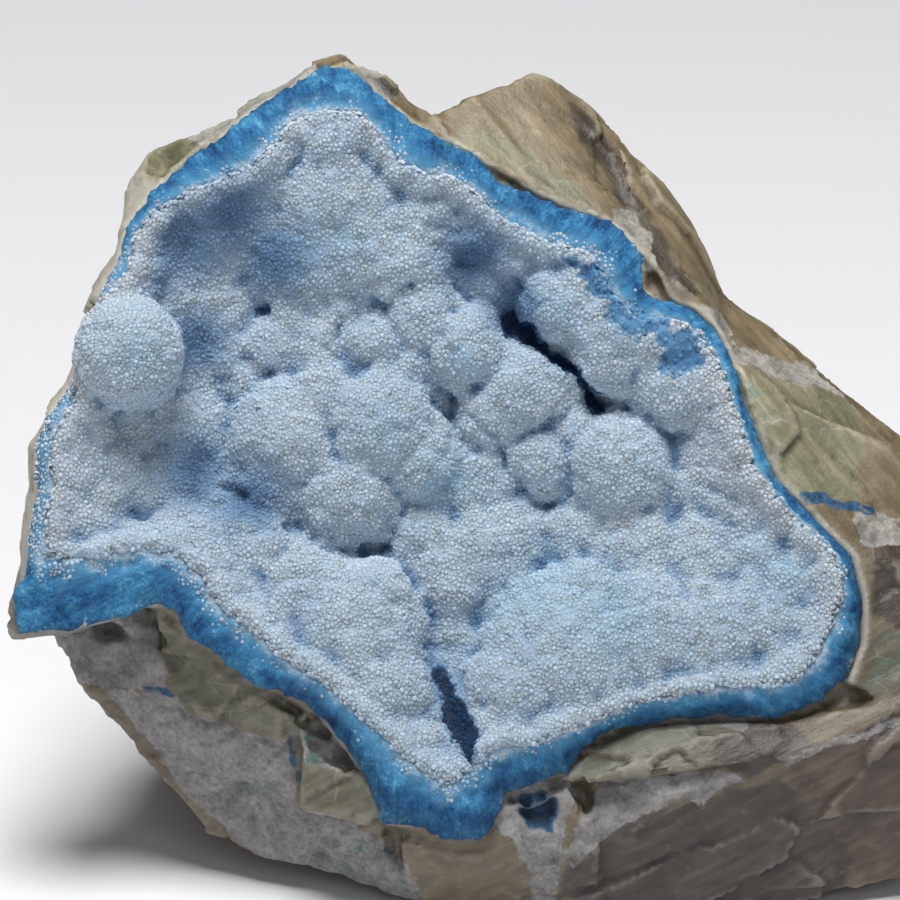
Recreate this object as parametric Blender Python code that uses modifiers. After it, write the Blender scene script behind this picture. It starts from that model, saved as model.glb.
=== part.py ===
"""A pocket of blue shattuckite in a block of quartz, covered inside by a crust of drusy quartz.

Everything is drawn in the frame of the pocket's face: x to the right, depth into the rock and z up
the face, in millimetres. One empty leans that frame back onto the block's flat base.
"""
import math

import bmesh
import bpy
from mathutils import Matrix, Vector, noise

MM = 0.001

# The way the block stands
LEAN = math.radians(20)
BASE_DROP = 46.0
BASE_CENTRE = (4.13, 15.57)

# The blue layer and the hollow that it lines
LINING_FLOOR = 4.0
HOLLOW_DEPTH = 12.5
HOLLOW_CENTRE = (-3.0, 1.0)
HOLLOW_SHAPE = 2.1
MOUTH_TILT_UP = 0.085
MOUTH_TILT_RIGHT = 0.02
MOUTH_WAVE = 0.9
MOUTH_WAVE_PACE = 0.09
LIP_DROP_TOP = 0.9
LIP_DROP_BOTTOM = 2.3
LIP_REACH = 50.0
BAND_RIPPLE = 0.5
BAND_RIPPLE_PACE = 0.5
BAND_CROWN = 0.35
GAP = 0.3
RING_STEPS = (1.0, 0.95, 0.87, 0.75, 0.58, 0.32)

# The crust of druse
CRUST = 2.2
CRUST_EDGE = 0.9
CRUST_BRIM_RISE = 0.72
CRUST_BURIED = 2.5
BAND_CLEARANCE = 0.9
DRUSE_OVER_BAND = (-33.0, -12.0)
CRUST_VOXEL = 0.8
CRUST_RATIO = 0.105
CRUST_BRIM = ((GAP, 0.0), (12.0, 0.0))

# The quartz collar behind the blue band's outer edge: how far out and how far in
COLLAR = ((0.0, 1.2), (0.4, 2.2), (0.8, 9.0))

# Reaches of the helper solids, all well outside the block
FRONT = -40.0
BEHIND = 60.0
FLOOR_SLAB = 200.0

# The mouth, anticlockwise from the right: inner edge x, z and outer edge x, z of the blue band
MOUTH = (
    (30.0, 0.0, 31.4, 0.0), (29.3, 2.6, 30.4, 2.6), (28.5, 5.0, 29.4, 5.2), (27.7, 7.4, 28.8, 7.7),
    (26.6, 9.7, 27.9, 10.1), (25.0, 11.6, 26.4, 12.2), (22.7, 13.1, 24.3, 14.0), (18.2, 12.8, 21.5, 15.0),
    (17.5, 14.7, 19.5, 16.3), (16.1, 16.1, 19.4, 19.4), (15.2, 18.1, 17.9, 21.3), (14.0, 20.0, 16.1, 22.9),
    (11.8, 20.4, 13.7, 23.7), (9.8, 21.0, 11.3, 24.3), (7.9, 21.6, 9.2, 25.2), (4.2, 24.0, 4.8, 27.2),
    (2.3, 26.1, 2.6, 29.5), (0.0, 27.4, 0.0, 30.8), (-2.4, 27.9, -2.8, 32.5), (-5.0, 29.2, -6.2, 35.3),
    (-9.1, 34.0, -10.5, 39.0), (-12.4, 34.2, -14.0, 38.3), (-15.6, 33.4, -16.8, 36.1),
    (-17.7, 30.7, -20.0, 34.6), (-20.1, 28.7, -22.6, 32.3), (-22.9, 27.3, -25.2, 30.0),
    (-26.2, 26.2, -27.9, 27.9), (-29.4, 24.4, -30.5, 25.4), (-31.4, 22.1, -32.6, 22.7),
    (-32.0, 18.6, -33.4, 19.2), (-33.4, 15.6, -35.0, 16.2), (-34.6, 12.8, -36.2, 13.2),
    (-35.5, 9.6, -37.2, 10.0), (-36.2, 6.4, -38.0, 6.7), (-38.4, 3.2, -40.2, 3.5),
    (-40.0, 0.2, -41.8, 0.4), (-39.6, -3.4, -41.4, -3.6), (-40.4, -7.0, -42.1, -7.4),
    (-40.4, -9.8, -42.5, -11.2), (-38.8, -11.0, -44.0, -15.8), (-35.0, -10.4, -43.4, -18.4),
    (-31.2, -9.8, -37.8, -18.0), (-28.0, -10.1, -33.2, -16.8), (-25.7, -12.0, -29.8, -15.4),
    (-24.1, -13.9, -27.7, -16.2), (-22.9, -16.1, -26.5, -18.6), (-20.5, -17.2, -24.1, -20.2),
    (-18.8, -18.8, -21.9, -21.9), (-17.2, -20.5, -19.9, -23.7), (-15.3, -21.8, -17.0, -24.4),
    (-13.2, -22.9, -14.6, -25.6), (-11.4, -24.5, -12.4, -27.4), (-9.5, -26.1, -10.5, -30.0),
    (-7.5, -27.8, -8.4, -33.0), (-5.3, -30.1, -6.6, -37.6), (-2.8, -32.1, -3.3, -37.9),
    (0.0, -33.6, 0.0, -39.2), (2.7, -31.3, 3.4, -39.1), (5.1, -29.4, 6.0, -34.2), (7.9, -29.6, 9.0, -33.4),
    (10.4, -28.6, 11.8, -32.2), (12.9, -27.7, 13.7, -29.6), (15.5, -26.8, 16.3, -28.2),
    (17.9, -25.6, 19.2, -27.4), (21.0, -25.0, 22.6, -27.0), (24.3, -24.3, 26.4, -26.6),
    (28.2, -23.7, 32.2, -26.9), (33.7, -23.6, 36.5, -25.6), (36.7, -21.2, 39.7, -22.9),
    (38.4, -17.8, 41.1, -19.2), (39.4, -14.4, 41.2, -15.0), (39.0, -10.6, 40.2, -10.8),
    (34.0, -6.0, 36.0, -6.5), (31.3, -2.7, 32.5, -2.8),
)

# Lumps of the crust: x, z, radius and the depth of the lump's front
LUMPS = (
    (-32.2, 9.7, 5.6, -5.4),
    (-11.6, 25.6, 9.0, 2.0), (-12.0, 31.0, 4.6, 1.6), (-8.6, 21.4, 9.0, 2.4), (-14.4, 19.4, 7.4, 3.2),
    (-18.6, 23.4, 7.0, 4.2), (-4.6, 18.4, 5.4, 2.6), (-3.2, 22.4, 4.6, 3.0), (-21.4, 27.0, 5.0, 3.0),
    (-26.0, 22.6, 5.0, 3.4), (-30.4, 17.4, 4.4, 2.6), (-26.0, 16.0, 5.0, 6.6),
    (-17.4, 10.6, 4.0, 5.0), (-13.0, 10.8, 4.2, 4.6), (-10.6, 13.4, 3.6, 4.6), (-16.0, 14.0, 3.6, 5.2),
    (-23.4, 14.0, 3.6, 5.8), (-23.0, 9.6, 3.8, 6.0), (-20.6, 7.0, 3.2, 6.0), (-26.6, 2.2, 5.8, 4.8),
    (-21.6, -2.0, 4.4, 5.6), (-24.5, 19.6, 7.6, 6.2),
    (4.0, 17.6, 5.2, 5.4), (8.0, 16.0, 3.6, 5.6), (0.4, 13.4, 3.2, 5.6), (-1.6, 23.6, 2.6, 3.2),
    (2.4, 21.8, 2.6, 2.8), (6.4, 19.8, 2.4, 2.6),
    (-7.6, 10.8, 3.9, 3.6), (-2.6, 13.4, 4.2, 3.0), (-4.2, 8.4, 3.6, 4.0), (1.4, 10.2, 4.5, 2.0),
    (7.6, 6.0, 5.6, 1.8), (4.4, 3.4, 3.8, 3.0), (9.2, -1.2, 4.4, 3.2), (12.6, 1.6, 3.4, 3.6),
    (17.2, -1.8, 5.6, 0.4),
    (11.2, 14.8, 4.4, 1.2), (15.2, 12.4, 4.6, 0.9), (16.2, 9.4, 4.8, 1.2), (19.8, 10.0, 4.4, 0.9),
    (13.0, 16.8, 3.4, 1.4), (17.4, 12.2, 3.4, 0.5), (21.6, 10.9, 3.4, 0.4),
    (23.2, 6.8, 5.6, 0.6), (25.4, 8.4, 4.2, 1.0),
    (-16.2, 1.2, 6.6, 1.8), (-7.0, 2.4, 6.9, 1.2), (-10.4, -4.2, 6.2, 2.0), (-18.0, -3.8, 4.8, 3.4),
    (-12.4, 5.6, 4.4, 2.8), (-3.4, -0.8, 5.0, 2.6),
    (3.0, -3.0, 8.0, 4.6), (5.0, -10.4, 9.0, 3.4), (0.0, -12.8, 6.6, 3.6), (-2.6, -8.4, 5.4, 4.4),
    (0.6, -17.6, 5.4, 4.6),
    (19.0, -10.6, 8.4, 1.8), (25.2, -11.8, 8.2, 1.4), (13.6, -8.8, 5.4, 3.2), (16.4, -13.4, 5.0, 2.4),
    (25.0, -3.4, 5.4, 3.0), (29.6, -5.4, 4.6, 1.8), (31.2, -10.8, 6.2, 1.0), (27.6, 0.4, 3.4, 2.4),
    (12.4, -21.2, 10.6, -3.0), (19.4, -19.0, 9.0, -1.8), (7.6, -24.0, 6.4, -2.6), (14.0, -15.6, 5.0, -0.4),
    (26.0, -18.8, 8.2, -1.4), (31.2, -17.4, 7.6, -0.6), (34.2, -13.4, 5.4, 0.2), (35.6, -18.0, 5.0, -0.2),
    (-10.4, -19.2, 8.8, -1.6), (-7.2, -24.2, 5.2, -2.0), (-15.6, -15.0, 6.8, 0.0), (-3.2, -28.8, 3.0, -2.4),
    (-8.0, -15.0, 4.4, 0.0),
    (-21.0, -11.0, 6.4, 0.8), (-27.4, -9.4, 5.0, 0.6), (-24.6, -6.0, 5.6, 4.2), (-30.2, -5.0, 6.8, 2.6),
    (-35.6, -3.0, 6.6, 0.6), (-38.4, -1.0, 4.4, -0.2), (-37.4, -7.0, 5.4, -0.4), (-36.6, 3.8, 3.4, 0.2),
)

# The roll of druse just inside the rim: how far in, radius and how far it stands out
RIM_ROLL_PLACE = 0.92
RIM_ROLL_RADIUS = 2.7
RIM_ROLL_RISE = 0.35

# Blocks of quartz, each the hull of its corners: x, depth, z
BLOCKS = {
    "heart": (
        (-32.6, 6.5, 18.6), (-36.2, 6.5, 10.0), (-39.8, 6.5, 1.0), (-40.4, 6.0, -9.0), (-36.6, 6.0, -15.4),
        (-27.6, 6.0, -19.6), (-12.0, 6.0, -29.0), (-6.6, 6.0, -37.0), (3.4, 6.0, -38.6), (20.0, 6.0, -28.0),
        (39.0, 6.0, -23.6), (40.0, 6.0, -12.0), (31.0, 6.0, 0.0), (28.0, 6.5, 8.6), (19.0, 7.0, 20.0),
        (-6.0, 7.5, 36.4), (-14.0, 7.5, 37.6), (-25.6, 7.0, 29.0), (-34.0, 22.0, 12.0), (-36.0, 22.0, -9.0),
        (-26.0, 24.0, -24.0), (2.0, 26.0, -34.0), (34.0, 24.0, -24.0), (36.0, 24.0, -6.0),
        (20.0, 26.0, 18.0), (-8.0, 24.0, 32.0), (-22.0, 22.0, 27.0),
    ),
    "right_core": (
        (30.0, 4.0, 7.0), (44.0, 6.0, 0.5), (50.4, 9.0, -8.0), (51.4, 8.0, -27.0), (48.0, 7.0, -38.0),
        (38.0, 6.0, -44.0), (10.0, 6.0, -46.0), (5.0, 5.0, -38.0), (14.0, 1.6, -31.0), (40.0, 2.6, -26.0),
        (40.0, 3.0, -13.0), (33.0, 3.6, -2.0), (46.0, 34.0, -4.0), (49.0, 33.0, -32.0), (28.0, 40.0, 2.0),
        (28.0, 38.0, -40.0),
    ),
    "top_right_peak": (
        (-2.6, 5.6, 33.2), (2.0, 8.0, 35.2), (8.5, 11.0, 38.2), (11.0, 12.0, 37.2), (13.6, 12.0, 34.6),
        (15.0, 12.0, 33.5), (17.2, 12.0, 32.0), (19.5, 12.0, 27.5), (0.0, 4.0, 31.0), (9.4, 3.6, 25.4),
        (16.2, 3.5, 23.0), (19.6, 3.2, 19.4), (8.0, 30.0, 34.0), (16.0, 32.0, 26.0), (-8.0, 26.0, 30.0),
        (20.0, 30.0, 15.0),
    ),
    "top_left_corner": (
        (-33.2, 6.0, 21.5), (-32.8, 8.0, 27.0), (-30.5, 9.0, 30.0), (-25.5, 8.0, 32.2), (-22.0, 7.0, 33.8),
        (-32.4, 3.6, 22.6), (-28.0, 3.8, 28.4), (-24.6, 3.8, 31.0), (-30.0, 24.0, 24.0),
        (-22.0, 26.0, 30.0), (-30.0, 26.0, 10.0),
    ),
    "top_chips": (
        (-10.4, 4.6, 39.3), (-7.5, 4.8, 38.5), (-5.0, 5.2, 36.5), (-3.0, 7.0, 33.5), (-12.0, 18.0, 34.0),
        (-8.0, 20.0, 33.0), (-17.0, 7.0, 37.2),
    ),
    "right_shoulder": (
        (17.0, 9.0, 31.0), (19.4, 10.5, 27.2), (21.2, 10.0, 27.6), (24.0, 11.0, 23.5), (26.0, 12.0, 19.0),
        (27.6, 12.0, 16.0), (19.6, 3.4, 19.8), (22.2, 2.8, 15.2), (26.6, 2.6, 12.6), (28.6, 2.5, 9.0),
        (20.0, 32.0, 24.0), (28.0, 34.0, 14.0), (30.0, 34.0, 0.0), (10.0, 30.0, 20.0),
    ),
    "right_ridge": (
        (27.4, 11.0, 16.0), (31.0, 11.0, 13.0), (35.0, 12.0, 10.2), (38.0, 12.0, 7.2), (41.0, 13.0, 5.0),
        (45.0, 13.0, 2.5), (48.5, 14.0, -0.5), (52.0, 16.0, -6.0), (29.0, 2.6, 8.0), (30.6, 2.4, 3.0),
        (31.8, 2.3, -0.6), (33.0, 2.2, -3.2), (36.6, 2.1, -6.8), (44.0, 4.0, -8.0), (49.0, 7.0, -10.0),
        (30.0, 36.0, 10.0), (45.0, 34.0, 0.0), (50.0, 32.0, -10.0), (30.0, 38.0, -10.0),
    ),
    "right_block": (
        (36.8, 2.2, -6.8), (40.8, 1.9, -11.0), (42.0, 1.6, -15.5), (41.6, 1.4, -19.5), (40.0, 1.0, -23.4),
        (52.0, 11.0, -6.0), (53.0, 9.0, -15.0), (52.5, 9.0, -28.0), (47.0, 3.2, -12.0), (48.0, 2.4, -20.0),
        (46.0, 1.6, -26.5), (50.0, 34.0, -8.0), (49.0, 32.0, -30.0), (30.0, 38.0, -10.0), (30.0, 36.0, -30.0),
    ),
    "bottom_right_lobe": (
        (15.0, 1.6, -31.6), (27.0, 1.4, -30.6), (33.0, 0.6, -29.0), (39.0, 0.9, -26.0), (46.0, 1.2, -25.0),
        (14.0, 1.4, -38.6), (23.0, -0.6, -34.4), (32.0, -0.6, -31.4), (40.0, 0.2, -29.6),
        (49.0, 1.8, -30.6), (11.0, 6.0, -46.6), (24.0, 7.0, -47.4), (37.0, 7.5, -45.4), (46.0, 9.0, -43.4),
        (50.6, 11.0, -38.0), (12.0, 34.0, -40.0), (30.0, 36.0, -38.0), (48.0, 30.0, -34.0),
        (30.0, 36.0, -25.0),
    ),
    "olive_shelf": (
        (11.0, 0.4, -32.8), (14.2, 0.2, -30.0), (20.0, 0.3, -28.0), (27.0, 0.5, -27.4), (32.6, 0.6, -27.4),
        (12.2, -1.0, -33.0), (22.0, -1.9, -32.0), (30.0, -1.4, -31.2), (34.0, -0.4, -29.4),
        (14.0, 12.0, -34.0), (30.0, 12.0, -32.0), (34.0, 12.0, -26.0), (16.0, 12.0, -26.0),
    ),
    "bottom_middle": (
        (-5.4, 0.8, -39.2), (-4.6, 3.0, -41.6), (3.6, 0.2, -41.4), (7.4, -0.4, -35.2), (12.0, -0.2, -33.8),
        (15.0, 1.0, -40.0), (15.0, 5.4, -46.4), (-3.4, 7.0, -46.0), (0.0, 32.0, -38.0), (14.0, 32.0, -36.0),
        (-8.0, 30.0, -34.0),
    ),
    "lower_left_slab": (
        (-25.6, 4.0, -20.6), (-19.6, 3.2, -25.2), (-12.6, 2.4, -29.2), (-8.6, 2.0, -34.4), (-40.0, 8.5, -18.6),
        (-38.0, 9.0, -23.0), (-36.5, 9.0, -25.0), (-33.0, 10.0, -27.5), (-30.0, 11.0, -30.5),
        (-27.5, 12.0, -34.0), (-24.5, 13.0, -38.8), (-19.2, 12.0, -41.2), (-12.0, 10.0, -42.4),
        (-6.4, 3.8, -40.6), (-4.0, 6.8, -45.4), (-36.0, 28.0, -12.0), (-30.0, 34.0, -24.0), (-20.0, 36.0, -30.0),
        (-5.0, 38.0, -34.0), (-34.0, 30.0, 0.0),
    ),
    "olive_ledge": (
        (-29.4, 2.6, -16.4), (-27.6, 1.8, -18.2), (-20.6, 1.2, -24.6), (-15.0, 0.8, -27.6), (-13.8, 3.4, -30.6),
        (-21.6, 4.4, -28.0), (-28.2, 5.0, -20.6), (-24.0, 14.0, -20.0), (-14.0, 14.0, -26.0),
    ),
    "wedge": (
        (-14.8, 1.4, -29.2), (-9.0, 0.4, -33.0), (-6.6, 0.6, -37.4), (-11.6, 2.0, -37.0),
        (-15.0, 2.4, -36.2), (-15.2, 3.4, -30.2), (-14.0, 12.0, -32.0), (-7.0, 12.0, -36.0),
    ),
    "back": (
        (-34.5, 18.0, 12.0), (-37.0, 18.0, -8.0), (-34.0, 20.0, -20.0), (-24.0, 24.0, 27.0),
        (-8.0, 22.0, 34.0), (10.0, 26.0, 33.0), (24.0, 26.0, 20.0), (42.0, 26.0, 2.0), (49.0, 24.0, -12.0),
        (47.0, 24.0, -32.0), (30.0, 26.0, -42.0), (5.0, 28.0, -42.0), (-16.0, 26.0, -36.0),
        (-22.0, 36.0, 14.0), (-26.0, 38.0, -8.0), (-17.0, 42.0, -28.0), (-2.0, 40.0, 24.0),
        (16.0, 41.0, 14.0), (28.0, 42.0, -2.0), (34.0, 43.0, -22.0), (18.0, 50.0, -28.0), (2.0, 46.0, -6.0),
        (-4.0, 49.0, -30.0), (28.0, 47.0, -32.0),
    ),
}


def depth_of_mouth(x, z):
    """Depth of the mouth's broken face at a place on it."""
    wave = noise.noise(Vector((x * MOUTH_WAVE_PACE, z * MOUTH_WAVE_PACE, 3.1)))
    return MOUTH_TILT_UP * z + MOUTH_TILT_RIGHT * x + MOUTH_WAVE * wave


def lip_drop(z):
    """How much deeper the outer edge of the blue band lies than its inner edge."""
    low = min(max(0.5 - z / LIP_REACH, 0.0), 1.0)
    return LIP_DROP_TOP + (LIP_DROP_BOTTOM - LIP_DROP_TOP) * low


def inner_edge():
    return [Vector((x, depth_of_mouth(x, z), z)) for x, z, _, _ in MOUTH]


def outer_edge():
    return [Vector((x, depth_of_mouth(x, z) + lip_drop(z), z)) for _, _, x, z in MOUTH]


def shift_outward(points, out, deeper=0.0):
    """The points moved away from the hollow's centre and into the rock."""
    moved = []
    for point in points:
        away = Vector((point.x - HOLLOW_CENTRE[0], 0.0, point.z - HOLLOW_CENTRE[1]))
        moved.append(point + away.normalized() * out + Vector((0.0, deeper, 0.0)))
    return moved


def shift_inward(points, share):
    """The points moved to a share of their way from the hollow's centre, at their own depth."""
    moved = []
    for point in points:
        x = HOLLOW_CENTRE[0] + (point.x - HOLLOW_CENTRE[0]) * share
        z = HOLLOW_CENTRE[1] + (point.z - HOLLOW_CENTRE[1]) * share
        moved.append(Vector((x, point.y, z)))
    return moved


def bowl_rings(edge, depth, steps=RING_STEPS):
    """Rings from the edge down to the hollow's floor, and the floor's middle point."""
    middle = Vector((HOLLOW_CENTRE[0], depth, HOLLOW_CENTRE[1]))
    rings = []
    for step in steps:
        sink = depth * (1.0 - step ** HOLLOW_SHAPE)
        rings.append([
            Vector((middle.x + (p.x - middle.x) * step, p.y * step + sink, middle.z + (p.z - middle.z) * step))
            for p in edge
        ])
    return rings, middle


def loft(name, rings, first, last):
    """A closed mesh through rings of equal length, closed by a point, or a flat cap, at each end."""
    bm = bmesh.new()
    loops = [[bm.verts.new(p * MM) for p in ring] for ring in rings]
    count = len(loops[0])
    for near, far in zip(loops, loops[1:]):
        for i in range(count):
            j = (i + 1) % count
            bm.faces.new((near[i], near[j], far[j], far[i]))
    for loop, tip in ((loops[0], first), (loops[-1], last)):
        if tip is None:
            bm.faces.new(loop)
            continue
        point = bm.verts.new(tip * MM)
        for i in range(count):
            bm.faces.new((loop[i], loop[(i + 1) % count], point))
    bmesh.ops.triangulate(bm, faces=bm.faces[:])
    bmesh.ops.recalc_face_normals(bm, faces=bm.faces[:])
    mesh = bpy.data.meshes.new(name)
    bm.to_mesh(mesh)
    bm.free()
    return mesh


def add_object(name, mesh, collection, parent):
    thing = bpy.data.objects.new(name, mesh)
    collection.objects.link(thing)
    thing.parent = parent
    if collection.name == "cutters":
        thing.hide_render = True
        thing.display_type = "WIRE"
    return thing


def boolean(thing, other, operation):
    cut = thing.modifiers.new(operation.lower() + "_" + other.name, "BOOLEAN")
    cut.operation = operation
    cut.solver = "EXACT"
    cut.object = other


def bake_modifiers(thing):
    """Replaces the object's mesh by its evaluated one and drops the modifiers."""
    bpy.context.view_layer.update()
    shaped = thing.evaluated_get(bpy.context.evaluated_depsgraph_get())
    mesh = bpy.data.meshes.new_from_object(shaped)
    thing.modifiers.clear()
    thing.data = mesh


def make_material(name, colour, roughness):
    material = bpy.data.materials.new(name)
    material.use_nodes = True
    shader = material.node_tree.nodes["Principled BSDF"]
    shader.inputs["Base Color"].default_value = (*colour, 1.0)
    shader.inputs["Roughness"].default_value = roughness
    shader.inputs["Metallic"].default_value = 0.0
    return material


def make_lining(collection, parent):
    """The blue layer: the hollow's skin in front, the quartz side behind, the broken band between."""
    front, front_middle = bowl_rings(inner_edge(), HOLLOW_DEPTH)
    back, back_middle = bowl_rings(outer_edge(), HOLLOW_DEPTH + LINING_FLOOR)
    band = []
    for a, b in zip(inner_edge(), outer_edge()):
        middle = (a + b) / 2.0
        ripple = noise.noise(Vector((middle.x * BAND_RIPPLE_PACE, 7.7, middle.z * BAND_RIPPLE_PACE)))
        band.append(middle + Vector((0.0, BAND_RIPPLE * ripple - BAND_CROWN, 0.0)))
    mesh = loft("shattuckite_lining", front[::-1] + [band] + back, front_middle, back_middle)
    mesh.materials.append(make_material("azure_shattuckite", (0.045, 0.20, 0.46), 0.62))
    return add_object("shattuckite_lining", mesh, collection, parent)


def make_hollow_cutter(collection, parent):
    """Everything in front of the blue layer's quartz side, kept clear of the quartz."""
    edge = shift_outward(outer_edge(), GAP, GAP)
    rings, middle = bowl_rings(edge, HOLLOW_DEPTH + LINING_FLOOR + GAP)
    mouth = [Vector((p.x, FRONT, p.z)) for p in edge]
    mesh = loft("hollow", [mouth] + rings, None, middle)
    return add_object("hollow", mesh, collection, parent)


def make_under_crust_cutter(collection, parent):
    """Everything behind the blue layer's front, kept clear of the crust."""
    toward = Vector((0.0, -GAP, 0.0))
    front, middle = bowl_rings(inner_edge(), HOLLOW_DEPTH)
    rings = [[p + toward for p in ring] for ring in front[::-1]]
    over_band = Vector((0.0, -BAND_CLEARANCE, 0.0))
    rings.append([(a + b) / 2.0 + over_band for a, b in zip(inner_edge(), outer_edge())])
    for out, deeper in CRUST_BRIM:
        rings.append([p + toward for p in shift_outward(outer_edge(), out, deeper)])
    rings.append([Vector((p.x, BEHIND, p.z)) for p in rings[-1]])
    mesh = loft("under_crust", rings, middle + toward, None)
    return add_object("under_crust", mesh, collection, parent)


def crust_edge():
    """The crust's outline: the band's inner edge, or its outer edge where the druse grows over it."""
    edge = []
    for a, b in zip(inner_edge(), outer_edge()):
        covered = b.x < DRUSE_OVER_BAND[0] and b.z > DRUSE_OVER_BAND[1]
        edge.append(b + Vector((0.0, (a.y - b.y) / 2.0, 0.0)) if covered else a)
    return edge


def add_lump(bm, x, z, radius, front):
    """A round lump whose back half is drawn out into the rock, so that it stands on the floor."""
    depth = front + radius
    ball = bmesh.ops.create_icosphere(bm, subdivisions=3, radius=radius * MM)
    for vert in ball["verts"]:
        if vert.co.y > 0.0:
            vert.co.y += max(HOLLOW_DEPTH - depth, 0.0) * MM
        vert.co += Vector((x, depth, z)) * MM


def make_crust(collection, parent, under):
    """The druse: a skin all over the hollow with its lumps, fused into one solid and trimmed behind."""
    edge = crust_edge()
    toward = Vector((0.0, -CRUST_EDGE, 0.0))
    skin, _ = bowl_rings(shift_outward(inner_edge(), -CRUST_EDGE), HOLLOW_DEPTH - CRUST)
    skin[0] = [p + toward for p in skin[0]]
    brim = [p + Vector((0.0, -CRUST_BRIM_RISE, 0.0)) for p in edge]
    buried, buried_middle = bowl_rings(shift_outward(edge, 0.0, CRUST_BURIED), HOLLOW_DEPTH + CRUST_BURIED)
    top_middle = Vector((HOLLOW_CENTRE[0], HOLLOW_DEPTH - CRUST, HOLLOW_CENTRE[1]))
    mesh = loft("quartz_druse_crust", skin[::-1] + [brim] + buried, top_middle, buried_middle)
    bm = bmesh.new()
    bm.from_mesh(mesh)
    for lump in LUMPS:
        add_lump(bm, *lump)
    for point in shift_inward(edge, RIM_ROLL_PLACE):
        add_lump(bm, point.x, point.z, RIM_ROLL_RADIUS, point.y - RIM_ROLL_RISE)
    bm.to_mesh(mesh)
    bm.free()
    crust = add_object("quartz_druse_crust", mesh, collection, parent)
    fuse = crust.modifiers.new("fuse", "REMESH")
    fuse.mode = "VOXEL"
    fuse.voxel_size = CRUST_VOXEL * MM
    thin = crust.modifiers.new("thin", "DECIMATE")
    thin.ratio = CRUST_RATIO
    boolean(crust, under, "DIFFERENCE")
    bake_modifiers(crust)
    crust.data.materials.clear()
    crust.data.materials.append(make_material("pale_druse", (0.50, 0.62, 0.72), 0.45))
    return crust


def make_block(name, corners, collection, parent):
    bm = bmesh.new()
    for corner in corners:
        bm.verts.new(Vector(corner) * MM)
    hull = bmesh.ops.convex_hull(bm, input=bm.verts[:])
    inside = {v for v in hull["geom_interior"] + hull["geom_unused"] if isinstance(v, bmesh.types.BMVert)}
    bmesh.ops.delete(bm, geom=list(inside), context="VERTS")
    bmesh.ops.recalc_face_normals(bm, faces=bm.faces[:])
    mesh = bpy.data.meshes.new(name)
    bm.to_mesh(mesh)
    bm.free()
    return add_object(name, mesh, collection, parent)


def make_floor_cutter(collection, parent):
    """A slab whose top face lies level, where the block is cut flat to stand."""
    bm = bmesh.new()
    bmesh.ops.create_cube(bm, size=FLOOR_SLAB * MM)
    down = Vector((0.0, math.sin(LEAN), -math.cos(LEAN)))
    sunk = Matrix.Translation(down * (BASE_DROP + FLOOR_SLAB / 2.0) * MM)
    bmesh.ops.transform(bm, matrix=sunk @ Matrix.Rotation(LEAN, 4, "X"), verts=bm.verts[:])
    mesh = bpy.data.meshes.new("floor")
    bm.to_mesh(mesh)
    bm.free()
    return add_object("floor", mesh, collection, parent)


def make_matrix(collection, cutters, parent, hollow):
    """The quartz: a cup that follows the blue layer's edge, joined to the broken blocks round it."""
    edge = outer_edge()
    cup = [shift_outward(edge, out, deeper) for out, deeper in COLLAR]
    matrix = add_object("quartz_matrix", loft("quartz_matrix", cup, None, None), collection, parent)
    for name, corners in BLOCKS.items():
        boolean(matrix, make_block(name, corners, cutters, parent), "UNION")
    boolean(matrix, hollow, "DIFFERENCE")
    boolean(matrix, make_floor_cutter(cutters, parent), "DIFFERENCE")
    matrix.data.materials.append(make_material("tan_and_grey_quartz", (0.36, 0.32, 0.25), 0.5))
    return matrix


def build():
    for old in list(bpy.data.objects):
        bpy.data.objects.remove(old)
    specimen = bpy.data.collections.new("shattuckite_in_quartz")
    cutters = bpy.data.collections.new("cutters")
    for collection in (specimen, cutters):
        bpy.context.scene.collection.children.link(collection)
    face = bpy.data.objects.new("pocket_face", None)
    specimen.objects.link(face)
    lift = Vector((-BASE_CENTRE[0], -BASE_CENTRE[1], BASE_DROP)) * MM
    face.matrix_world = Matrix.Translation(lift) @ Matrix.Rotation(-LEAN, 4, "X")
    hollow = make_hollow_cutter(cutters, face)
    make_matrix(specimen, cutters, face, hollow)
    make_lining(specimen, face)
    make_crust(specimen, face, make_under_crust_cutter(cutters, face))


build()
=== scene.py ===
"""A pocket in quartz, lined with blue shattuckite and a crust of druse: the finished surfaces.

Places are given in the frame of the pocket's face, in millimetres: x to the right, depth into the
rock, z up the face. The face leans back over the block's flat base and the camera looks straight at it.
"""
import math

import bpy
import numpy as np
from mathutils import Matrix, Vector
from mathutils.bvhtree import BVHTree


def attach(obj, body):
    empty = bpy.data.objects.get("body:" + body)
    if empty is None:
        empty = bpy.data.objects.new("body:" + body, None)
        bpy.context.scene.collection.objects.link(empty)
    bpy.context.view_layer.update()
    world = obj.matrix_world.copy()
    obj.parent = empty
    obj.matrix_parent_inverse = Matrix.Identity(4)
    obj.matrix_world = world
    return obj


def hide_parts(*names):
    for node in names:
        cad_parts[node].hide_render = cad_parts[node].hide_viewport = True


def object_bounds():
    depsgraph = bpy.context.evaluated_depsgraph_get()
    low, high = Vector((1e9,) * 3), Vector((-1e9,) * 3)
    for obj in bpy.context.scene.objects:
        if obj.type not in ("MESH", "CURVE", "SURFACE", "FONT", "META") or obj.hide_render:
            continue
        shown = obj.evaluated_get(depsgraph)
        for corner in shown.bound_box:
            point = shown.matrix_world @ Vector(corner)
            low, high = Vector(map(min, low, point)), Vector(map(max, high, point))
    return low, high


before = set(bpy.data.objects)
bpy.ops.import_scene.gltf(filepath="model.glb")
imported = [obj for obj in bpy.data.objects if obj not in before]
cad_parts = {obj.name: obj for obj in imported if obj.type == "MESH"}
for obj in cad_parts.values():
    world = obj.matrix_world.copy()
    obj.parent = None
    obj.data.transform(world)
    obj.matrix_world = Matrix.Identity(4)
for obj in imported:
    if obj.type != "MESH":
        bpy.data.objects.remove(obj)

cad_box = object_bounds()

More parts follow.
